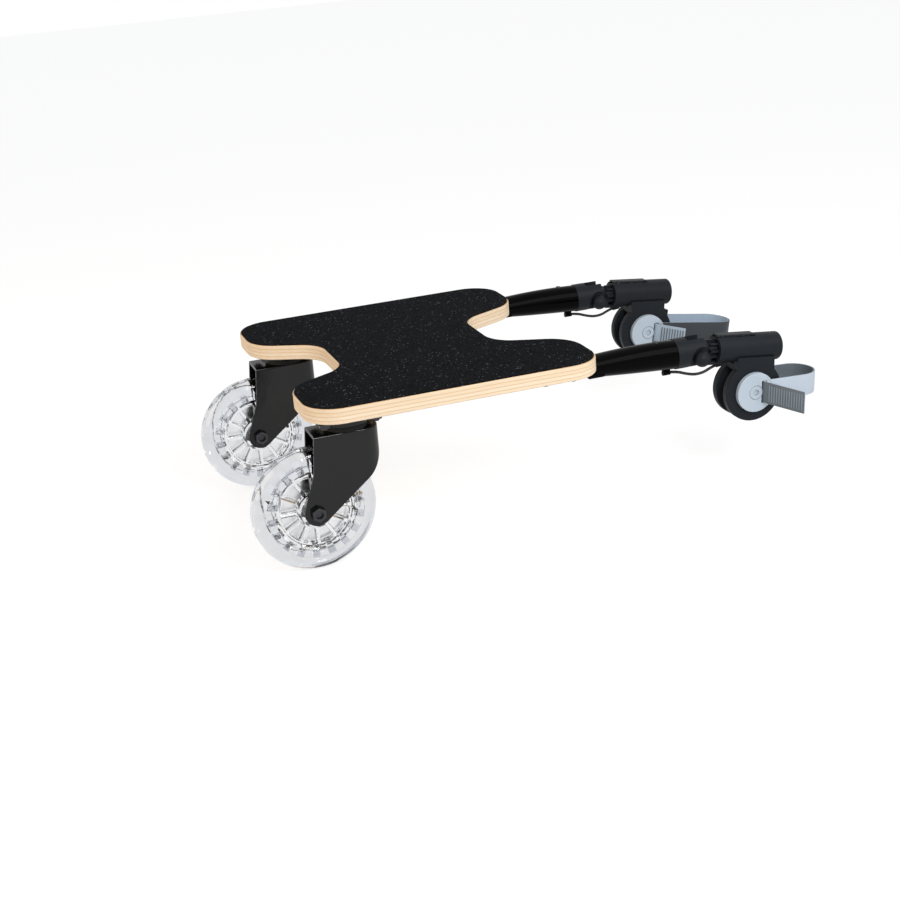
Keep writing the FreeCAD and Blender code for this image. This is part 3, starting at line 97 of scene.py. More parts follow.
class StageSettings(PropertyGroup):
    camera_place: FloatVectorProperty(
        name="Camera place", description="Where the camera stands", default=(1.5066, -0.5746, 0.6536),
        subtype="TRANSLATION", unit="LENGTH",
    )
    camera_aim: FloatVectorProperty(
        name="Camera aim", description="Direction that the camera looks in",
        default=(-0.8892, 0.2884, -0.3551), subtype="DIRECTION",
    )
    camera_roll: FloatProperty(
        name="Camera roll", description="How far the camera leans to one side", default=math.radians(-4.45),
        subtype="ANGLE",
    )
    lens: FloatProperty(name="Lens", description="Focal length on a 36 mm sensor", default=63.64,
                        unit="CAMERA")
    key_power: power_property("Key light", "Power of the key light", 8.0)
    fill_power: power_property("Fill light", "Power of the fill light", 9.0)
    fill_colour: colour_property("Fill colour", "Colour of the fill light", (1.0, 0.78, 0.55))
    front_power: power_property("Front light", "Power of the small light that edges black pieces", 10.0)
    sky_level: FloatProperty(name="Sky level", description="Brightness of the soft light all round",
                             default=0.52)


class WheelSettings(PropertyGroup):
    radius: length_property("Radius", "Outside of the tyre", span_of("tyre_right").z / 2)
    width: length_property("Width", "Width of the tyre", span_of("tyre_right").x)
    rim_radius: length_property("Rim radius", "Outside of the hub's rim", span_of("hub_right").z / 2)
    boss_width: length_property("Boss width", "Hub boss along the axle", span_of("hub_right").x)
    spokes: IntProperty(name="Spokes", description="Ribs on each face of the hub", default=12, min=3, max=24)
    locks: IntProperty(name="Locks", description="Pockets that lock the tyre to the rim", default=18, min=6,
                       max=36)
    hub_colour: colour_property("Hub colour", "Tint of the clear hub", (0.84, 0.855, 0.88))
    tyre_colour: colour_property("Tyre colour", "Tint of the clear tyre", (0.725, 0.745, 0.78))


class StrapSettings(PropertyGroup):
    width: length_property("Width", "Width of the ladder strap", 0.023)
    thickness: length_property("Thickness", "Both layers together", 0.0022)
    tooth_pitch: length_property("Tooth pitch", "From one ladder tooth to the next", 0.0032)
    pale: colour_property("Pale", "Pale layer of a strap", (0.40, 0.455, 0.52))
    light: colour_property("Light", "Blue-grey layer of a strap", (0.28, 0.35, 0.43))
    dark: colour_property("Dark", "Dark layer of a strap", (0.019, 0.023, 0.028))
    tail: colour_property("Tail", "Toothed grey of a loose end", (0.095, 0.115, 0.132))


class FinishSettings(PropertyGroup):
    ply_light: colour_property("Light ply", "Long-grain plies of the deck", (0.80, 0.665, 0.50))
    ply_dark: colour_property("Dark ply", "Thin plies of the deck", (0.61, 0.385, 0.185))
    grit: colour_property("Grit", "Ground of the grit sheet", (0.0016, 0.0019, 0.0027))
    # painted glints: the bright grains stand for light caught by the grit, painted into its base colour
    glint: colour_property("Spark", "Bright grains in the grit sheet", (0.26, 0.29, 0.35))
    steel_black: colour_property("Black steel", "Painted forks and plates", (0.0035, 0.0037, 0.004))
    gloss_black: colour_property("Gloss black", "Arms", (0.0008, 0.0008, 0.0009))
    charcoal: colour_property("Charcoal", "Moulded connectors", (0.0105, 0.0125, 0.0155))
    pale_grey: colour_property("Pale grey", "Strap discs", (0.39, 0.455, 0.52))
    steel: colour_property("Steel", "Plain steel", (0.52, 0.53, 0.55))
    dark_steel: colour_property("Dark steel", "Blackened fasteners", (0.045, 0.046, 0.05))
    cord: colour_property("Cord", "Tethers", (0.008, 0.008, 0.009))


class BoardSettings(PropertyGroup):
    stage: PointerProperty(type=StageSettings)
    wheel: PointerProperty(type=WheelSettings)
    strap: PointerProperty(type=StrapSettings)
    finish: PointerProperty(type=FinishSettings)


def settings():
    return bpy.context.scene.buggy_board


def add(tree, kind, **values):
    """A node of that kind. Lower-case names set its own properties, the others its input sockets."""
    made = tree.nodes.new(kind)
    for name, value in values.items():
        if name.islower() and hasattr(made, name):
            setattr(made, name, value)
        else:
            made.inputs[name.replace("_", " ")].default_value = value
    return made


def calc(tree, operation, first, second=None):
    """A Math node on two values or sockets."""
    made = tree.nodes.new("ShaderNodeMath")
    made.operation = operation
    for socket, value in zip(made.inputs, (first, second)):
        if value is None:
            continue
        if isinstance(value, (int, float)):
            socket.default_value = value
        else:
            tree.links.new(value, socket)
    return made.outputs[0]


def blend_colours(tree, factor, first, second):
    """A colour mix, each input a socket or a constant."""
    made = tree.nodes.new("ShaderNodeMix")
    made.data_type = "RGBA"
    for socket, value in zip((made.inputs[0], made.inputs[6], made.inputs[7]), (factor, first, second)):
        if isinstance(value, (int, float)):
            socket.default_value = value
        elif isinstance(value, bpy.types.NodeSocket):
            tree.links.new(value, socket)
        else:
            socket.default_value = (*value, 1.0)
    return made.outputs[2]


def ramp(tree, value, low, high, out_low=0.0, out_high=1.0):
    """A clamped straight ramp of a value."""
    made = add(tree, "ShaderNodeMapRange", clamp=True)
    tree.links.new(value, made.inputs["Value"])
    for name, number in zip(("From Min", "From Max", "To Min", "To Max"), (low, high, out_low, out_high)):
        made.inputs[name].default_value = number
    return made.outputs["Result"]


def place_of(tree, stretch=(1.0, 1.0, 1.0)):
    """The piece's own coordinates, stretched."""
    coordinates = add(tree, "ShaderNodeTexCoord")
    mapping = add(tree, "ShaderNodeMapping", Scale=stretch)
    tree.links.new(coordinates.outputs["Object"], mapping.inputs["Vector"])
    return mapping.outputs["Vector"]


def new_group(name, inputs, outputs):
    """An empty shader group with named number inputs and outputs."""
    tree = bpy.data.node_groups.new(name, "ShaderNodeTree")
    for label, default in inputs:
        socket = tree.interface.new_socket(label, in_out="INPUT", socket_type="NodeSocketFloat")
        socket.default_value = default
    for label in outputs:
        tree.interface.new_socket(label, in_out="OUTPUT", socket_type="NodeSocketFloat")
    return tree, tree.nodes.new("NodeGroupInput"), tree.nodes.new("NodeGroupOutput")


def moulded_grain():
    """Fine moulded or sprayed texture, with broad patches of wear."""
    found = bpy.data.node_groups.get("moulded_grain")
    if found:
        return found
    tree, entry, leave = new_group(
        "moulded_grain", (("Grain Scale", 2200.0), ("Patch Scale", 22.0)), ("Grain", "Patches"),
    )
    place = place_of(tree)
    grain = add(tree, "ShaderNodeTexNoise", Detail=2.0, Roughness=0.55)
    patches = add(tree, "ShaderNodeTexNoise", Detail=4.0, Roughness=0.6)
    tree.links.new(entry.outputs["Grain Scale"], grain.inputs["Scale"])
    tree.links.new(entry.outputs["Patch Scale"], patches.inputs["Scale"])
    for texture in (grain, patches):
        tree.links.new(place, texture.inputs["Vector"])
    tree.links.new(grain.outputs["Fac"], leave.inputs["Grain"])
    tree.links.new(ramp(tree, patches.outputs["Fac"], 0.3, 0.7), leave.inputs["Patches"])
    return tree


def wood_streaks():
    """Solid wood streaks that run along X and along Y, for plies laid crosswise."""
    found = bpy.data.node_groups.get("wood_streaks")
    if found:
        return found
    tree, entry, leave = new_group("wood_streaks", (("Fineness", 1.0),), ("Along X", "Along Y"))
    for label, stretch in (("Along X", (14.0, 420.0, 700.0)), ("Along Y", (420.0, 14.0, 700.0))):
        streak = add(tree, "ShaderNodeTexNoise", Detail=3.0, Roughness=0.6)
        tree.links.new(entry.outputs["Fineness"], streak.inputs["Scale"])
        tree.links.new(place_of(tree, stretch), streak.inputs["Vector"])
        tree.links.new(ramp(tree, streak.outputs["Fac"], 0.3, 0.72), leave.inputs[label])
    return tree


def new_material(name, **constants):
    """A material with one Principled shader whose constants are set on its own sockets."""
    made = bpy.data.materials.new(name)
    made.use_nodes = True
    tree = made.node_tree
    shader = tree.nodes["Principled BSDF"]
    for label, value in constants.items():
        shader.inputs[label.replace("_", " ")].default_value = value
    return made, tree, shader


def bump(tree, shader, height, distance, strength=1.0):
    made = add(tree, "ShaderNodeBump", Strength=strength, Distance=distance)
    tree.links.new(height, made.inputs["Height"])
    tree.links.new(made.outputs["Normal"], shader.inputs["Normal"])


def textured(name, colour, rough, spread, grain_scale, depth, lift=1.35, **constants):
    """A painted or moulded finish: colour and gloss vary in patches over a fine texture."""
    made, tree, shader = new_material(name, **constants)
    surface = add(tree, "ShaderNodeGroup", node_tree=moulded_grain())
    surface.inputs["Grain Scale"].default_value = grain_scale
    brighter = tuple(min(1.0, value * lift) for value in colour)
    base = blend_colours(tree, surface.outputs["Patches"], tuple(colour), brighter)
    tree.links.new(base, shader.inputs["Base Color"])
    tree.links.new(ramp(tree, surface.outputs["Patches"], 0.0, 1.0, rough, rough + spread),
                   shader.inputs["Roughness"])
    bump(tree, shader, surface.outputs["Grain"], depth)
    return made


def plywood_finish():
    """Pale plies with a thin darker one between each two, and streaked veneers above and below."""
    finish = settings().finish
    made, tree, shader = new_material("sealed_plywood", Specular_IOR_Level=0.25)
    low, high = (Vector(corner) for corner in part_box("deck"))
    plies = 4
    waver_share = 0.30
    streak_shade, cross_lift, glue_shade = 0.88, 1.15, 0.6
    tone_share, thin_share, glue_share = 0.25, 0.62, 0.5
    coordinates = add(tree, "ShaderNodeTexCoord")
    apart = add(tree, "ShaderNodeSeparateXYZ")
    tree.links.new(coordinates.outputs["Object"], apart.inputs[0])
    waver = add(tree, "ShaderNodeTexNoise", Scale=14.0, Detail=3.0)
    tree.links.new(coordinates.outputs["Object"], waver.inputs["Vector"])
    above = calc(tree, "SUBTRACT", apart.outputs["Z"], low.z)
    height = calc(tree, "MULTIPLY", above, plies / (high.z - low.z))
    height = calc(tree, "ADD", height, calc(tree, "MULTIPLY", waver.outputs["Fac"], waver_share))
    height = calc(tree, "SUBTRACT", height, waver_share / 2)
    number = calc(tree, "FLOOR", height)
    edge = calc(tree, "ABSOLUTE", calc(tree, "SUBTRACT", calc(tree, "FRACT", height), 0.5))
    thin_ply = ramp(tree, edge, 0.36, 0.43)
    glue = ramp(tree, edge, 0.455, 0.5)
    streaks = add(tree, "ShaderNodeGroup", node_tree=wood_streaks())
    light = blend_colours(tree, streaks.outputs["Along Y"], tuple(finish.ply_light),
                          tuple(value * streak_shade for value in finish.ply_light))
    dark = blend_colours(tree, streaks.outputs["Along X"],
                         tuple(value * cross_lift for value in finish.ply_dark), tuple(finish.ply_dark))
    tone = add(tree, "ShaderNodeTexWhiteNoise", noise_dimensions="1D")
    tree.links.new(number, tone.inputs["W"])
    light = blend_colours(tree, calc(tree, "MULTIPLY", tone.outputs["Value"], tone_share), light,
                          tuple(finish.ply_dark))
    banded = blend_colours(tree, calc(tree, "MULTIPLY", thin_ply, thin_share), light, dark)
    lined = blend_colours(tree, calc(tree, "MULTIPLY", glue, glue_share), banded,
                          tuple(value * glue_shade for value in finish.ply_dark))
    tree.links.new(lined, shader.inputs["Base Color"])
    tree.links.new(ramp(tree, streaks.outputs["Along Y"], 0.0, 1.0, 0.48, 0.66), shader.inputs["Roughness"])
    relief = calc(tree, "SUBTRACT", calc(tree, "MULTIPLY", streaks.outputs["Along Y"], 0.4), glue)
    bump(tree, shader, relief, 0.00012)
    return made


def grit_finish():
    """Black grit: packed grains, most of them dark, with a few painted bright as painted glints where the
    grit would catch the light.
    """
    finish = settings().finish
    made, tree, shader = new_material("black_grit", Specular_IOR_Level=0.02)
    ground_lift, grey_share, glint_share = 1.7, 0.06, 0.62
    place = place_of(tree)
    ground = add(tree, "ShaderNodeTexNoise", Scale=45.0, Detail=4.0)
    grains = add(tree, "ShaderNodeTexVoronoi", Scale=1050.0)
    coarse = add(tree, "ShaderNodeTexVoronoi", Scale=520.0)
    for texture in (ground, grains, coarse):
        tree.links.new(place, texture.inputs["Vector"])
    chance = add(tree, "ShaderNodeSeparateColor")
    tree.links.new(grains.outputs["Color"], chance.inputs["Color"])
    rare = add(tree, "ShaderNodeSeparateColor")
    tree.links.new(coarse.outputs["Color"], rare.inputs["Color"])
    core = ramp(tree, grains.outputs["Distance"], 0.30, 0.55, 1.0, 0.0)
    heart = ramp(tree, coarse.outputs["Distance"], 0.22, 0.40, 1.0, 0.0)
    grey = calc(tree, "MULTIPLY", ramp(tree, chance.outputs["Red"], 0.45, 1.0), core)
    # painted glints: rare grains are painted in the glint colour wherever they fall, whatever the light
    glint = calc(tree, "MULTIPLY", ramp(tree, rare.outputs["Green"], 0.90, 0.97), heart)
    worn = blend_colours(tree, ramp(tree, ground.outputs["Fac"], 0.35, 0.7), tuple(finish.grit),
                         tuple(value * ground_lift for value in finish.grit))
    grainy = blend_colours(tree, calc(tree, "MULTIPLY", grey, grey_share), worn, tuple(finish.glint))
    glinted = blend_colours(tree, calc(tree, "MULTIPLY", glint, glint_share), grainy, tuple(finish.glint))
    tree.links.new(glinted, shader.inputs["Base Color"])
    tree.links.new(ramp(tree, chance.outputs["Blue"], 0.0, 1.0, 0.55, 0.9), shader.inputs["Roughness"])
    bump(tree, shader, core, 0.00045)
    return made


def clear_finish(name, colour, roughness, ior):
    """Clear plastic with faint flow marks."""
    made, tree, shader = new_material(name, IOR=ior, Transmission_Weight=1.0, Metallic=0.0)
    place = place_of(tree)
    flow = add(tree, "ShaderNodeTexNoise", Scale=70.0, Detail=2.0)
    tree.links.new(place, flow.inputs["Vector"])
    base = blend_colours(tree, ramp(tree, flow.outputs["Fac"], 0.35, 0.65), tuple(colour),
                         tuple(value * 0.95 for value in colour))
    tree.links.new(base, shader.inputs["Base Color"])
    tree.links.new(ramp(tree, flow.outputs["Fac"], 0.3, 0.7, roughness, roughness * 2.5),
                   shader.inputs["Roughness"])
    bump(tree, shader, flow.outputs["Fac"], 0.0006, 0.35)
    return made


def put_on(material, *nodes):
    """Gives whole CAD nodes one material."""
    for name in nodes:
        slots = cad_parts[name].data.materials
        slots.clear()
        slots.append(material)


def both(*kinds):
    return [f"{kind}_{side}" for kind in kinds for side in SIDES]


def finish_mesh(mesh, name, materials, smooth_angle=math.radians(32)):
    """A mesh object from a finished bmesh, shaded smooth up to an angle."""
    bmesh.ops.remove_doubles(mesh, verts=mesh.verts, dist=1e-6)
    bmesh.ops.recalc_face_normals(mesh, faces=mesh.faces)
    data = bpy.data.meshes.new(name)
    mesh.to_mesh(data)
    mesh.free()
    for material in materials:
        data.materials.append(material)
    data.polygons.foreach_set("use_smooth", [True] * len(data.polygons))
    data.set_sharp_from_angle(angle=smooth_angle)
    made = bpy.data.objects.new(name, data)
    bpy.context.scene.collection.objects.link(made)
    return made


def turned(profile, steps, rounding, segments):
    """A closed profile of (along X, radius) points turned about X, with chosen corners rounded."""
    mesh = bmesh.new()
    corners = [mesh.verts.new((along, 0.0, radius)) for along, radius in profile]
    mesh.faces.new(corners)
    for index, width in sorted(rounding.items()):
        bmesh.ops.bevel(mesh, geom=[corners[index]], offset=width, offset_type="OFFSET", affect="VERTICES",
                        segments=segments, profile=0.5, material=-1)
    outline = list(mesh.edges)
    bmesh.ops.delete(mesh, geom=list(mesh.faces), context="FACES_ONLY")
    bmesh.ops.spin(mesh, geom=outline + list(mesh.verts), cent=(0, 0, 0), axis=(1, 0, 0), angle=math.tau,
                   steps=steps, use_merge=True, use_duplicate=False)
    return mesh


def turn_of(piece):
    """The angle of a wheel's face round its axle."""
    centre = piece.calc_center_median()
    return math.atan2(centre.z, centre.y) % math.tau


def make_tyre(side, material):
    """A clear tyre with lock pockets round its bore, a rounded tread and a shoulder line on each side."""
    wheel = settings().wheel
    half = wheel.width / 2
    fit = 0.2 * MM
    bore = wheel.rim_radius + fit
    shoulder = 48 * MM
    groove = 0.5 * MM
    crown = 11 * MM
    lip = 1.2 * MM
    pocket = 7 * MM
    pocket_draft, pocket_depth = 0.4 * MM, 7.5 * MM
    steps, crown_segments = 108, 8
    profile = [
        (-half, bore), (-half, shoulder - groove), (-half + groove, shoulder), (-half, shoulder + groove),
        (-half, wheel.radius), (half, wheel.radius), (half, shoulder + groove), (half - groove, shoulder),
        (half, shoulder - groove), (half, bore), (pocket, bore), (-pocket, bore),
    ]
    mesh = turned(profile, steps, {0: lip, 4: crown, 5: crown, 9: lip}, crown_segments)
    bmesh.ops.remove_doubles(mesh, verts=mesh.verts, dist=1e-6)
    bmesh.ops.recalc_face_normals(mesh, faces=mesh.faces)
    middle = [
        piece for piece in mesh.faces
        if abs(piece.calc_center_median().x) < 1 * MM
        and math.hypot(*piece.calc_center_median().yz) < shoulder
    ]
    lock_pitch = math.tau / wheel.locks
    for lock in range(wheel.locks):
        region = [piece for piece in middle if int(turn_of(piece) / (lock_pitch / 2)) == 2 * lock]
        bmesh.ops.inset_region(mesh, faces=region, thickness=pocket_draft, depth=-pocket_depth,
                               use_even_offset=True)
    bmesh.ops.translate(mesh, verts=mesh.verts, vec=middle_of(f"tyre_{side}"))
    made = finish_mesh(mesh, f"clear_tyre_{side}", [material])
    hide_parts(f"tyre_{side}")
    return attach(made, f"wheel_{side}")


def make_hub(side, clear, frosted):
    """A clear hub in one casting, with drafted frosted pockets on both faces and a keyed rim."""
    wheel = settings().wheel
    half = wheel.boss_width / 2
    bearing = 7.05 * MM
    face = 8.5 * MM
    rim = 10.5 * MM
    boss, bore, seat = 16 * MM, 8 * MM, 11.05 * MM
    inner = wheel.rim_radius - 5 * MM
    steps = wheel.spokes * 6
    boss_edge, rim_edge = 1 * MM, 0.6 * MM
    half_rib, draft, pocket_depth = 1.5 * MM, 0.8 * MM, 6.2 * MM
    key_draft, key_depth = 0.8 * MM, 2.6 * MM
    half_profile = [
        (half - bearing, bore), (half - bearing, seat), (half, seat), (half, boss), (face, boss + boss_edge),
        (face, inner), (rim, inner + rim_edge), (rim, wheel.rim_radius),
    ]
    profile = half_profile + [(-along, radius) for along, radius in reversed(half_profile)]
    mesh = turned(profile, steps, {3: boss_edge, 12: boss_edge, 7: rim_edge, 8: rim_edge}, 2)
    bmesh.ops.remove_doubles(mesh, verts=mesh.verts, dist=1e-6)
    bmesh.ops.recalc_face_normals(mesh, faces=mesh.faces)
    pitch = math.tau / wheel.spokes
    for hand in (1, -1):
        ring = [
            piece for piece in mesh.faces
            if abs(piece.calc_center_median().x - hand * face) < 0.3 * MM
            and boss < math.hypot(*piece.calc_center_median().yz) < inner
            and hand * piece.normal.x > 0.9
        ]
        cells = [
            [piece for piece in ring if int(turn_of(piece) / pitch) == cell]
            for cell in range(wheel.spokes)
        ]
        for cell in cells:
            panel = bmesh.ops.dissolve_faces(mesh, faces=cell)["region"]
            bmesh.ops.inset_region(mesh, faces=panel, thickness=half_rib, depth=0.0, use_even_offset=True)
            bmesh.ops.inset_region(mesh, faces=panel, thickness=draft, depth=-pocket_depth,
                                   use_even_offset=True)
            for piece in panel:
                piece.material_index = 1
    tread = [
        piece for piece in mesh.faces
        if abs(math.hypot(*piece.calc_center_median().yz) - wheel.rim_radius) < 0.4 * MM
        and abs(piece.normal.x) < 0.1 and abs(piece.calc_center_median().x) < 6 * MM
    ]
    lock_pitch = math.tau / wheel.locks
    for lock in range(wheel.locks):
        region = [piece for piece in tread if int(turn_of(piece) / (lock_pitch / 2)) == 2 * lock]
        bmesh.ops.inset_region(mesh, faces=region, thickness=key_draft, depth=-key_depth,
                               use_even_offset=True)
    bmesh.ops.translate(mesh, verts=mesh.verts, vec=middle_of(f"hub_{side}"))
    made = finish_mesh(mesh, f"clear_hub_{side}", [clear, frosted], math.radians(24))
    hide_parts(f"hub_{side}")
    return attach(made, f"wheel_{side}")


def make_dust_ring(side, material):
    """A soft lip round the swivel's balls, seated on the fork's crown and clear of the race above it."""
    balls = middle_of(f"swivel_balls_{side}")
    low, high = -2.5 * MM, 2.3 * MM
    inner, outer, taper = 19.8 * MM, 21.4 * MM, 0.6 * MM
    inner_edge, outer_edge = 0.3 * MM, 0.5 * MM
    profile = [(low, inner), (high, inner), (high, outer - taper), (low, outer)]
    mesh = turned(profile, 72, {1: inner_edge, 2: outer_edge}, 3)
    upright = Matrix.Rotation(math.radians(-90), 3, "Y")
    bmesh.ops.rotate(mesh, cent=(0, 0, 0), matrix=upright, verts=mesh.verts)
    bmesh.ops.translate(mesh, verts=mesh.verts, vec=balls)
    made = finish_mesh(mesh, f"dust_ring_{side}", [material])
    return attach(made, f"caster_{side}")


def make_leaf_spring(name, side, body, material):
    """A leaf spring under a button or tab: a steel copy of the CAD spring, carried by the given body."""
    node = f"{name}_{side}"
    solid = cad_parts[node]
    leaf = solid.data.copy()
    leaf.transform(solid.matrix_world)
    leaf.materials.clear()
    leaf.materials.append(material)
    made = bpy.data.objects.new(f"leaf_{node}", leaf)
    bpy.context.scene.collection.objects.link(made)
    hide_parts(node)
    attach(made, body)
    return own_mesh(made)


def strap_matrix(side, turn):
    """The frame at a strap's disc: along the tilted rod, down to the disc and turned about its axis."""
    hinge_y, hinge_z = 151.08 * MM, 152.26 * MM
    rod_tilt = math.radians(-6.5)
    disc_ahead, disc_drop = 63 * MM, 44 * MM
    rod = Matrix.Translation((middle_of(f"arm_{side}").x, hinge_y, hinge_z))
    tilted = rod @ Matrix.Rotation(rod_tilt, 4, "X")
    disc = tilted @ Matrix.Translation((0, disc_ahead, -disc_drop))
    return disc @ Matrix.Rotation(math.radians(turn), 4, "X")


def strap_line(loop_ahead, tail_length, tail_angle):
    """Corner points of the strap's middle line about its disc and the radius at each inner one, in mm."""
    anchor, anchor_ahead = -23.65, 18.25
    inside, bend, exit_bend = 17.55, 20.6, 3.3
    slot_ahead = 11.8
    # a little under the full bend, so that the two front bends leave a short straight
    front_bend = bend * 0.999
    front = loop_ahead + bend
    lean = math.radians(tail_angle)
    reach = exit_bend * math.tan((math.pi / 2 + lean) / 2)
    turning = Vector((inside, slot_ahead - reach, 0))
    out = Vector((math.cos(lean), math.sin(lean), 0))
    points = [
        Vector((anchor, anchor_ahead, 0)), Vector((anchor, front, 0)), Vector((inside, front, 0)), turning,
        turning + out * (reach + tail_length),
    ]
    return points, (front_bend, front_bend, exit_bend), out


def sweep_band(mesh, points, radii, near_side, far_side, width, index):
    """One layer of a strap: its rounded section run along straights and spun round the bends."""
    edge_round = 0.35
    shortest_run, longest_step = 0.02, 6
    degrees_a_step = 6
    ahead = (points[1] - points[0]).normalized()
    left = Vector((0, 0, 1)).cross(ahead)
    corners = [
        mesh.verts.new(points[0] + left * offset + Vector((0, 0, rise)))
        for offset, rise in ((near_side, -width / 2), (far_side, -width / 2), (far_side, width / 2),
                             (near_side, width / 2))
    ]
    before = set(mesh.faces)
    mesh.faces.new(corners)
    bmesh.ops.bevel(mesh, geom=corners, offset=edge_round, offset_type="OFFSET", affect="VERTICES",
                    segments=2, profile=0.5, material=-1)
    loop = [edge for edge in mesh.edges if edge.is_boundary]
    loop = [edge for edge in loop if all(face not in before for face in edge.link_faces)]
    place = points[0]
    for number in range(1, len(points)):
        corner = points[number]
        ahead = (corner - place).normalized()
        last = number == len(points) - 1
        if last:
            stop = corner
        else:
            back = (points[number - 1] - corner).normalized()
            onward = (points[number + 1] - corner).normalized()
            turn = math.pi - back.angle(onward)
            radius = radii[number - 1]
            stop = corner + back * (radius * math.tan(turn / 2))
        run = stop - place
        if run.length > shortest_run:
            steps = max(1, int(run.length / longest_step))
            for _ in range(steps):
                grown = bmesh.ops.extrude_edge_only(mesh, edges=loop)["geom"]
                loop = [item for item in grown if isinstance(item, bmesh.types.BMEdge)]
                loop = [edge for edge in loop if edge.is_boundary]
                moved = [item for item in grown if isinstance(item, bmesh.types.BMVert)]
                bmesh.ops.translate(mesh, verts=moved, vec=run / steps)
        if last:
            break
        side = 1 if back.cross(onward).z < 0 else -1
        centre = stop + Vector((0, 0, 1)).cross(ahead) * (radius * side)
        ends = list({vert for edge in loop for vert in edge.verts})
        spun = bmesh.ops.spin(mesh, geom=loop + ends, cent=centre, axis=(0, 0, 1), angle=turn * side,
                              steps=max(3, int(math.degrees(turn) / degrees_a_step)), use_duplicate=False)
        loop = [item for item in spun["geom_last"] if isinstance(item, bmesh.types.BMEdge)]
        place = corner + onward * (radius * math.tan(turn / 2))
    bmesh.ops.edgeloop_fill(mesh, edges=loop)
    for face in mesh.faces:
        if face not in before:
            face.material_index = index


def make_strap(side, turn, loop_ahead, tail_length, tail_angle, outer, inner, tick):
    """A ladder strap of two layers: round the front, through the disc and out as a toothed tail."""
    strap = settings().strap
    width, thick = strap.width / MM, strap.thickness / MM
    half_gap = 0.02
    tooth_length, tooth_height, tooth_margin, tooth_edge = 1.4, 0.8, 3.0, 0.22
    tooth_shift, tooth_lift = 0.8, 0.2
    points, radii, out = strap_line(loop_ahead, tail_length, tail_angle)
    mesh = bmesh.new()
    sweep_band(mesh, points, radii, half_gap, thick / 2, width, 0)
    sweep_band(mesh, points, radii, -thick / 2, -half_gap, width, 1)
    rear = out.cross(Vector((0, 0, 1)))
    pitch = strap.tooth_pitch / MM
    for step in range(int((tail_length - pitch) / pitch)):
        before = set(mesh.faces)
        made = bmesh.ops.create_cube(mesh, size=1.0)["verts"]
        bmesh.ops.scale(mesh, vec=(tooth_length, tooth_height, width - 2 * tooth_margin), verts=made)
        edges = list({edge for vert in made for edge in vert.link_edges})
        bmesh.ops.bevel(mesh, geom=edges, offset=tooth_edge, offset_type="OFFSET", affect="EDGES", segments=2,
                        profile=0.5, material=-1)
        grown = [face for face in mesh.faces if face not in before]
        verts = list({vert for face in grown for vert in face.verts})
        bmesh.ops.rotate(mesh, cent=(0, 0, 0), matrix=Matrix.Rotation(math.radians(tail_angle), 3, "Z"),
                         verts=verts)
        place = points[-1] - out * (pitch * (step + 1) - tooth_shift) + rear * (thick / 2 + tooth_lift)
        bmesh.ops.translate(mesh, verts=verts, vec=place)
        for face in grown:
            face.material_index = 2
    bmesh.ops.scale(mesh, vec=(MM, MM, MM), verts=mesh.verts)
    bmesh.ops.transform(mesh, matrix=strap_matrix(side, turn), verts=mesh.verts)
    made = finish_mesh(mesh, f"ladder_strap_{side}", [outer, inner, tick])
    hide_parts(f"strap_{side}")
    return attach(made, f"clamp_{side}")


def tether_route(side):
    """The tether's own points, in metres: out of the arm's socket, a low sag, up into the key's socket."""
    x = middle_of(f"arm_{side}").x / MM
    start = (120.35, 133.9)
    end = (172.71, 132.18)
    steps = ((0, 0), (8.5, -1.1), (18, -4.9), (28.5, -7.7), (38.5, -7.0), (46, -3.6))
    points = [(x, start[0] + forward, start[1] + rise) for forward, rise in steps]
    points.append((x, *end))
    return [Vector(point) * MM for point in points]


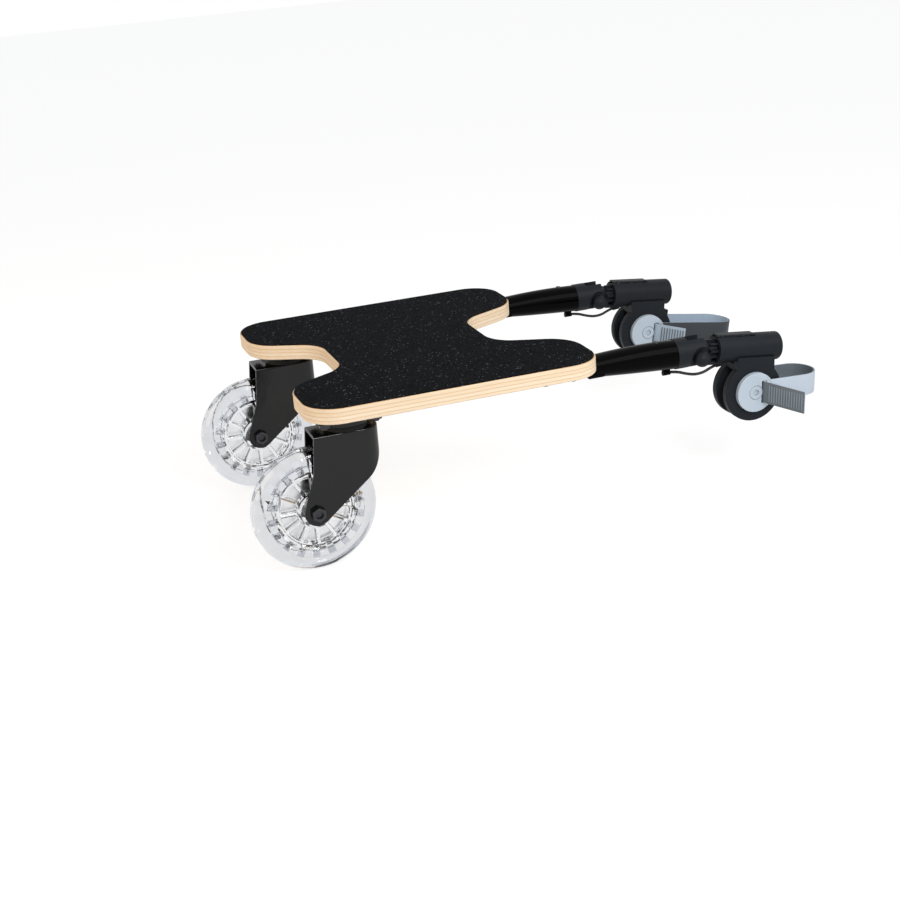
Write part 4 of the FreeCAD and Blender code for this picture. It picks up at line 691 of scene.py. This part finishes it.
class BOARD_OT_stage(Operator):
    """Add the camera, the soft lights, the sky and the pale floor"""

    bl_idname = "buggy_board.stage"
    bl_label = "Stage"

    def execute(self, context):
        stage = settings().stage
        aim_at = Vector((0, 0, 0.1))
        scene = context.scene
        scene.view_settings.view_transform = "Standard"
        lens = bpy.data.cameras.new("board_camera")
        lens.lens = stage.lens
        lens.sensor_width = 36
        lens.clip_start = 0.01
        camera = bpy.data.objects.new("board_camera", lens)
        camera.location = stage.camera_place
        upright = Vector(stage.camera_aim).to_track_quat("-Z", "Y").to_matrix()
        camera.rotation_euler = (upright @ Matrix.Rotation(stage.camera_roll, 3, "Z")).to_euler()
        scene.collection.objects.link(camera)
        scene.camera = camera
        for name, place, size, depth, power in (
            ("key_light", (1.1, 0.75, 1.25), 0.9, 0.9, stage.key_power),
            ("fill_light", (0.1, -1.5, 0.7), 1.1, 1.1, stage.fill_power),
            ("front_light", (1.17, 0.12, 0.96), 0.4, 0.45, stage.front_power),
        ):
            light = bpy.data.lights.new(name, "AREA")
            light.shape = "RECTANGLE"
            light.size = size
            light.size_y = depth
            light.energy = power
            lamp = bpy.data.objects.new(name, light)
            lamp.location = place
            lamp.rotation_euler = (aim_at - Vector(place)).to_track_quat("-Z", "Y").to_euler()
            scene.collection.objects.link(lamp)
        bpy.data.lights["fill_light"].color = stage.fill_colour
        self.sky(scene, stage)
        self.floor(scene)
        return {"FINISHED"}

    def seen_directly(self, tree):
        """One for a ray from the camera, a reflection or clear plastic, which see plain white."""
        light_path = add(tree, "ShaderNodeLightPath")
        seen = calc(tree, "MAXIMUM", light_path.outputs["Is Camera Ray"], light_path.outputs["Is Glossy Ray"])
        return calc(tree, "MAXIMUM", seen, light_path.outputs["Is Transmission Ray"])

    def sky(self, scene, stage):
        world = bpy.data.worlds.new("studio_sky")
        world.use_nodes = True
        tree = world.node_tree
        soft = tree.nodes["Background"]
        soft.inputs["Color"].default_value = (0.97, 0.985, 1.0, 1.0)
        soft.inputs["Strength"].default_value = stage.sky_level
        white = add(tree, "ShaderNodeBackground", Color=(1.0, 1.0, 1.0, 1.0), Strength=1.0)
        mix = add(tree, "ShaderNodeMixShader")
        tree.links.new(self.seen_directly(tree), mix.inputs[0])
        tree.links.new(soft.outputs[0], mix.inputs[1])
        tree.links.new(white.outputs[0], mix.inputs[2])
        tree.links.new(mix.outputs[0], tree.nodes["World Output"].inputs["Surface"])
        scene.world = world

    def floor(self, scene):
        mesh = bmesh.new()
        bmesh.ops.create_grid(mesh, x_segments=1, y_segments=1, size=6.0)
        bmesh.ops.translate(mesh, verts=mesh.verts, vec=(0, 0, -0.2 * MM))
        data = bpy.data.meshes.new("studio_floor")
        mesh.to_mesh(data)
        mesh.free()
        material = bpy.data.materials.new("studio_floor")
        material.use_nodes = True
        tree = material.node_tree
        tree.nodes.remove(tree.nodes["Principled BSDF"])
        paint = add(tree, "ShaderNodeBsdfDiffuse", Color=(0.82, 0.82, 0.82, 1.0))
        thin = add(tree, "ShaderNodeBsdfDiffuse", Color=(0.30, 0.30, 0.30, 1.0))
        glow = add(tree, "ShaderNodeEmission", Color=(1.0, 1.0, 1.0, 1.0), Strength=0.80)
        lit = add(tree, "ShaderNodeAddShader")
        mix = add(tree, "ShaderNodeMixShader")
        tree.links.new(thin.outputs[0], lit.inputs[0])
        tree.links.new(glow.outputs[0], lit.inputs[1])
        tree.links.new(self.seen_directly(tree), mix.inputs[0])
        tree.links.new(paint.outputs[0], mix.inputs[1])
        tree.links.new(lit.outputs[0], mix.inputs[2])
        tree.links.new(mix.outputs[0], tree.nodes["Material Output"].inputs["Surface"])
        data.materials.append(material)
        floor = bpy.data.objects.new("studio_floor", data)
        scene.collection.objects.link(floor)


class BOARD_OT_tethers(Operator):
    """Hang the thin cord under each arm's joint"""

    bl_idname = "buggy_board.tethers"
    bl_label = "Tethers"

    def execute(self, context):
        diameter = 3 * MM
        cable = textured("tether_cable", settings().finish.cord, rough=0.42, spread=0.12, grain_scale=1800.0,
                         depth=0.00003, Specular_IOR_Level=0.35)
        for side in SIDES:
            route = tether_route(side)
            curve = bpy.data.curves.new(f"tether_line_{side}", "CURVE")
            curve.dimensions = "3D"
            curve.resolution_u = 16
            spline = curve.splines.new("NURBS")
            spline.points.add(len(route) - 1)
            for point, place in zip(spline.points, route):
                point.co = (*place, 1.0)
            spline.order_u = 3
            spline.use_endpoint_u = True
            line = bpy.data.objects.new(f"tether_line_{side}", curve)
            path = [vert.co.copy() for vert in bpy.data.meshes.new_from_object(line).vertices]
            curve.bevel_depth = diameter / 2
            curve.bevel_resolution = 5
            curve.use_fill_caps = True
            tube = bpy.data.meshes.new_from_object(line)
            bpy.data.objects.remove(line)
            tube.materials.clear()
            tube.materials.append(cable)
            made = bpy.data.objects.new(f"tether_cord_{side}", tube)
            context.scene.collection.objects.link(made)
            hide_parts(f"tether_{side}")
            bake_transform(made)
        return {"FINISHED"}


class BOARD_OT_deck(Operator):
    """Finish the plywood deck and its grit sheet"""

    bl_idname = "buggy_board.deck"
    bl_label = "Deck"

    def execute(self, context):
        put_on(plywood_finish(), "deck")
        put_on(grit_finish(), "grip_sheet")
        return {"FINISHED"}


class BOARD_OT_metalwork(Operator):
    """Finish the forks, plates, arms and fasteners"""

    bl_idname = "buggy_board.metalwork"
    bl_label = "Metalwork"

    def execute(self, context):
        finish = settings().finish
        painted = textured("satin_black_steel", finish.steel_black, rough=0.40, spread=0.12,
                           grain_scale=1500.0, depth=0.00002, lift=1.4, Specular_IOR_Level=0.0,
                           Coat_Weight=0.6, Coat_Roughness=0.12)
        put_on(painted, *both("fork", "caster_plate"))
        rubber = textured("dust_ring_rubber", finish.steel_black, rough=0.5, spread=0.15, grain_scale=900.0,
                          depth=0.00003, lift=1.5, Specular_IOR_Level=0.2)
        for side in SIDES:
            make_dust_ring(side, rubber)
        gloss = textured("gloss_black_arm", finish.gloss_black, rough=0.10, spread=0.08, grain_scale=500.0,
                         depth=0.00001, lift=1.4, Specular_IOR_Level=0.035)
        put_on(gloss, *both("arm"))
        steel = textured("plain_steel", finish.steel, rough=0.26, spread=0.16, grain_scale=1200.0,
                         depth=0.00001, lift=1.1, Metallic=1.0)
        put_on(steel, *both("axle_sleeve", "wheel_bearings", "pin_clip"))
        for side in SIDES:
            make_leaf_spring("button_spring", side, "board", steel)
            make_leaf_spring("tab_spring", side, f"housing_{side}", steel)
        dark = textured("blackened_steel", finish.dark_steel, rough=0.32, spread=0.14, grain_scale=1200.0,
                        depth=0.00001, lift=1.3, Metallic=1.0)
        put_on(dark, *both("swivel_balls", "kingpin", "axle_bolt", "axle_nut", "snap_button", "clamp_nut"),
               "plate_bolts", "plate_nuts", "arm_bolts", "arm_nuts")
        return {"FINISHED"}


class BOARD_OT_connectors(Operator):
    """Finish the moulded connectors and their discs"""

    bl_idname = "buggy_board.connectors"
    bl_label = "Connectors"

    def execute(self, context):
        finish = settings().finish
        moulded = textured("charcoal_moulding", finish.charcoal, rough=0.40, spread=0.14, grain_scale=2600.0,
                           depth=0.00005, lift=1.25, Specular_IOR_Level=0.09)
        put_on(moulded, *both("end_fitting", "rod", "housing", "release_tab", "hinge_pin", "clamp_drum"))
        pale = textured("pale_grey_moulding", finish.pale_grey, rough=0.42, spread=0.12, grain_scale=2600.0,
                        depth=0.00003, lift=1.06, Specular_IOR_Level=0.4)
        put_on(pale, *both("clamp_disc", "clamp_screw"))
        return {"FINISHED"}


class BOARD_OT_wheels(Operator):
    """Make the clear wheels"""

    bl_idname = "buggy_board.wheels"
    bl_label = "Wheels"

    def execute(self, context):
        wheel = settings().wheel
        hub = clear_finish("clear_hub", wheel.hub_colour, roughness=0.02, ior=1.52)
        pocket = clear_finish("frosted_hub", wheel.hub_colour, roughness=0.2, ior=1.52)
        tyre = clear_finish("clear_tyre", wheel.tyre_colour, roughness=0.03, ior=1.48)
        for side in SIDES:
            make_hub(side, hub, pocket)
            make_tyre(side, tyre)
        return {"FINISHED"}


class BOARD_OT_straps(Operator):
    """Make the two-layer ladder straps"""

    bl_idname = "buggy_board.straps"
    bl_label = "Straps"

    def execute(self, context):
        strap = settings().strap

        def layer(name, colour):
            return textured(name, colour, rough=0.46, spread=0.14, grain_scale=1700.0, depth=0.00004,
                            lift=1.12, Specular_IOR_Level=0.4)

        pale = layer("strap_pale", strap.pale)
        light = layer("strap_light", strap.light)
        dark = layer("strap_dark", strap.dark)
        tail = layer("strap_tail", strap.tail)
        # painted highlight: the right strap's teeth take the tail colour made 1.8 times brighter, for the
        # light they catch
        tick = layer("strap_tooth_highlight", tuple(value * 1.8 for value in strap.tail))
        make_strap("right", turn=4.0, loop_ahead=58.0, tail_length=51.0, tail_angle=21.0, outer=pale,
                   inner=tail, tick=tick)
        make_strap("left", turn=-2.5, loop_ahead=95.0, tail_length=34.0, tail_angle=46.0, outer=dark,
                   inner=light, tick=tail)
        return {"FINISHED"}


class BOARD_PT_sidebar(Panel):
    bl_idname = "BOARD_PT_sidebar"
    bl_label = "Buggy Board"
    bl_space_type = "VIEW_3D"
    bl_region_type = "UI"
    bl_category = "Buggy Board"

    def draw(self, context):
        for operator in OPERATORS:
            self.layout.operator(operator.bl_idname)
        for group in (settings().stage, settings().wheel, settings().strap, settings().finish):
            box = self.layout.box()
            for name in group.bl_rna.properties.keys():
                if name not in ("rna_type", "name"):
                    box.prop(group, name)


OPERATORS = (
    BOARD_OT_stage, BOARD_OT_tethers, BOARD_OT_deck, BOARD_OT_metalwork, BOARD_OT_connectors, BOARD_OT_wheels,
    BOARD_OT_straps,
)
CLASSES = (
    StageSettings, WheelSettings, StrapSettings, FinishSettings, BoardSettings, *OPERATORS, BOARD_PT_sidebar,
)


def register():
    for entry in CLASSES:
        bpy.utils.register_class(entry)
    bpy.types.Scene.buggy_board = PointerProperty(type=BoardSettings)


def unregister():
    del bpy.types.Scene.buggy_board
    for entry in reversed(CLASSES):
        bpy.utils.unregister_class(entry)


def main():
    register()
    bpy.ops.buggy_board.stage()
    bpy.ops.buggy_board.tethers()
    bpy.ops.buggy_board.deck()
    bpy.ops.buggy_board.metalwork()
    bpy.ops.buggy_board.connectors()
    bpy.ops.buggy_board.wheels()
    bpy.ops.buggy_board.straps()
    bpy.context.view_layer.update()


if __name__ == "__main__":
    main()
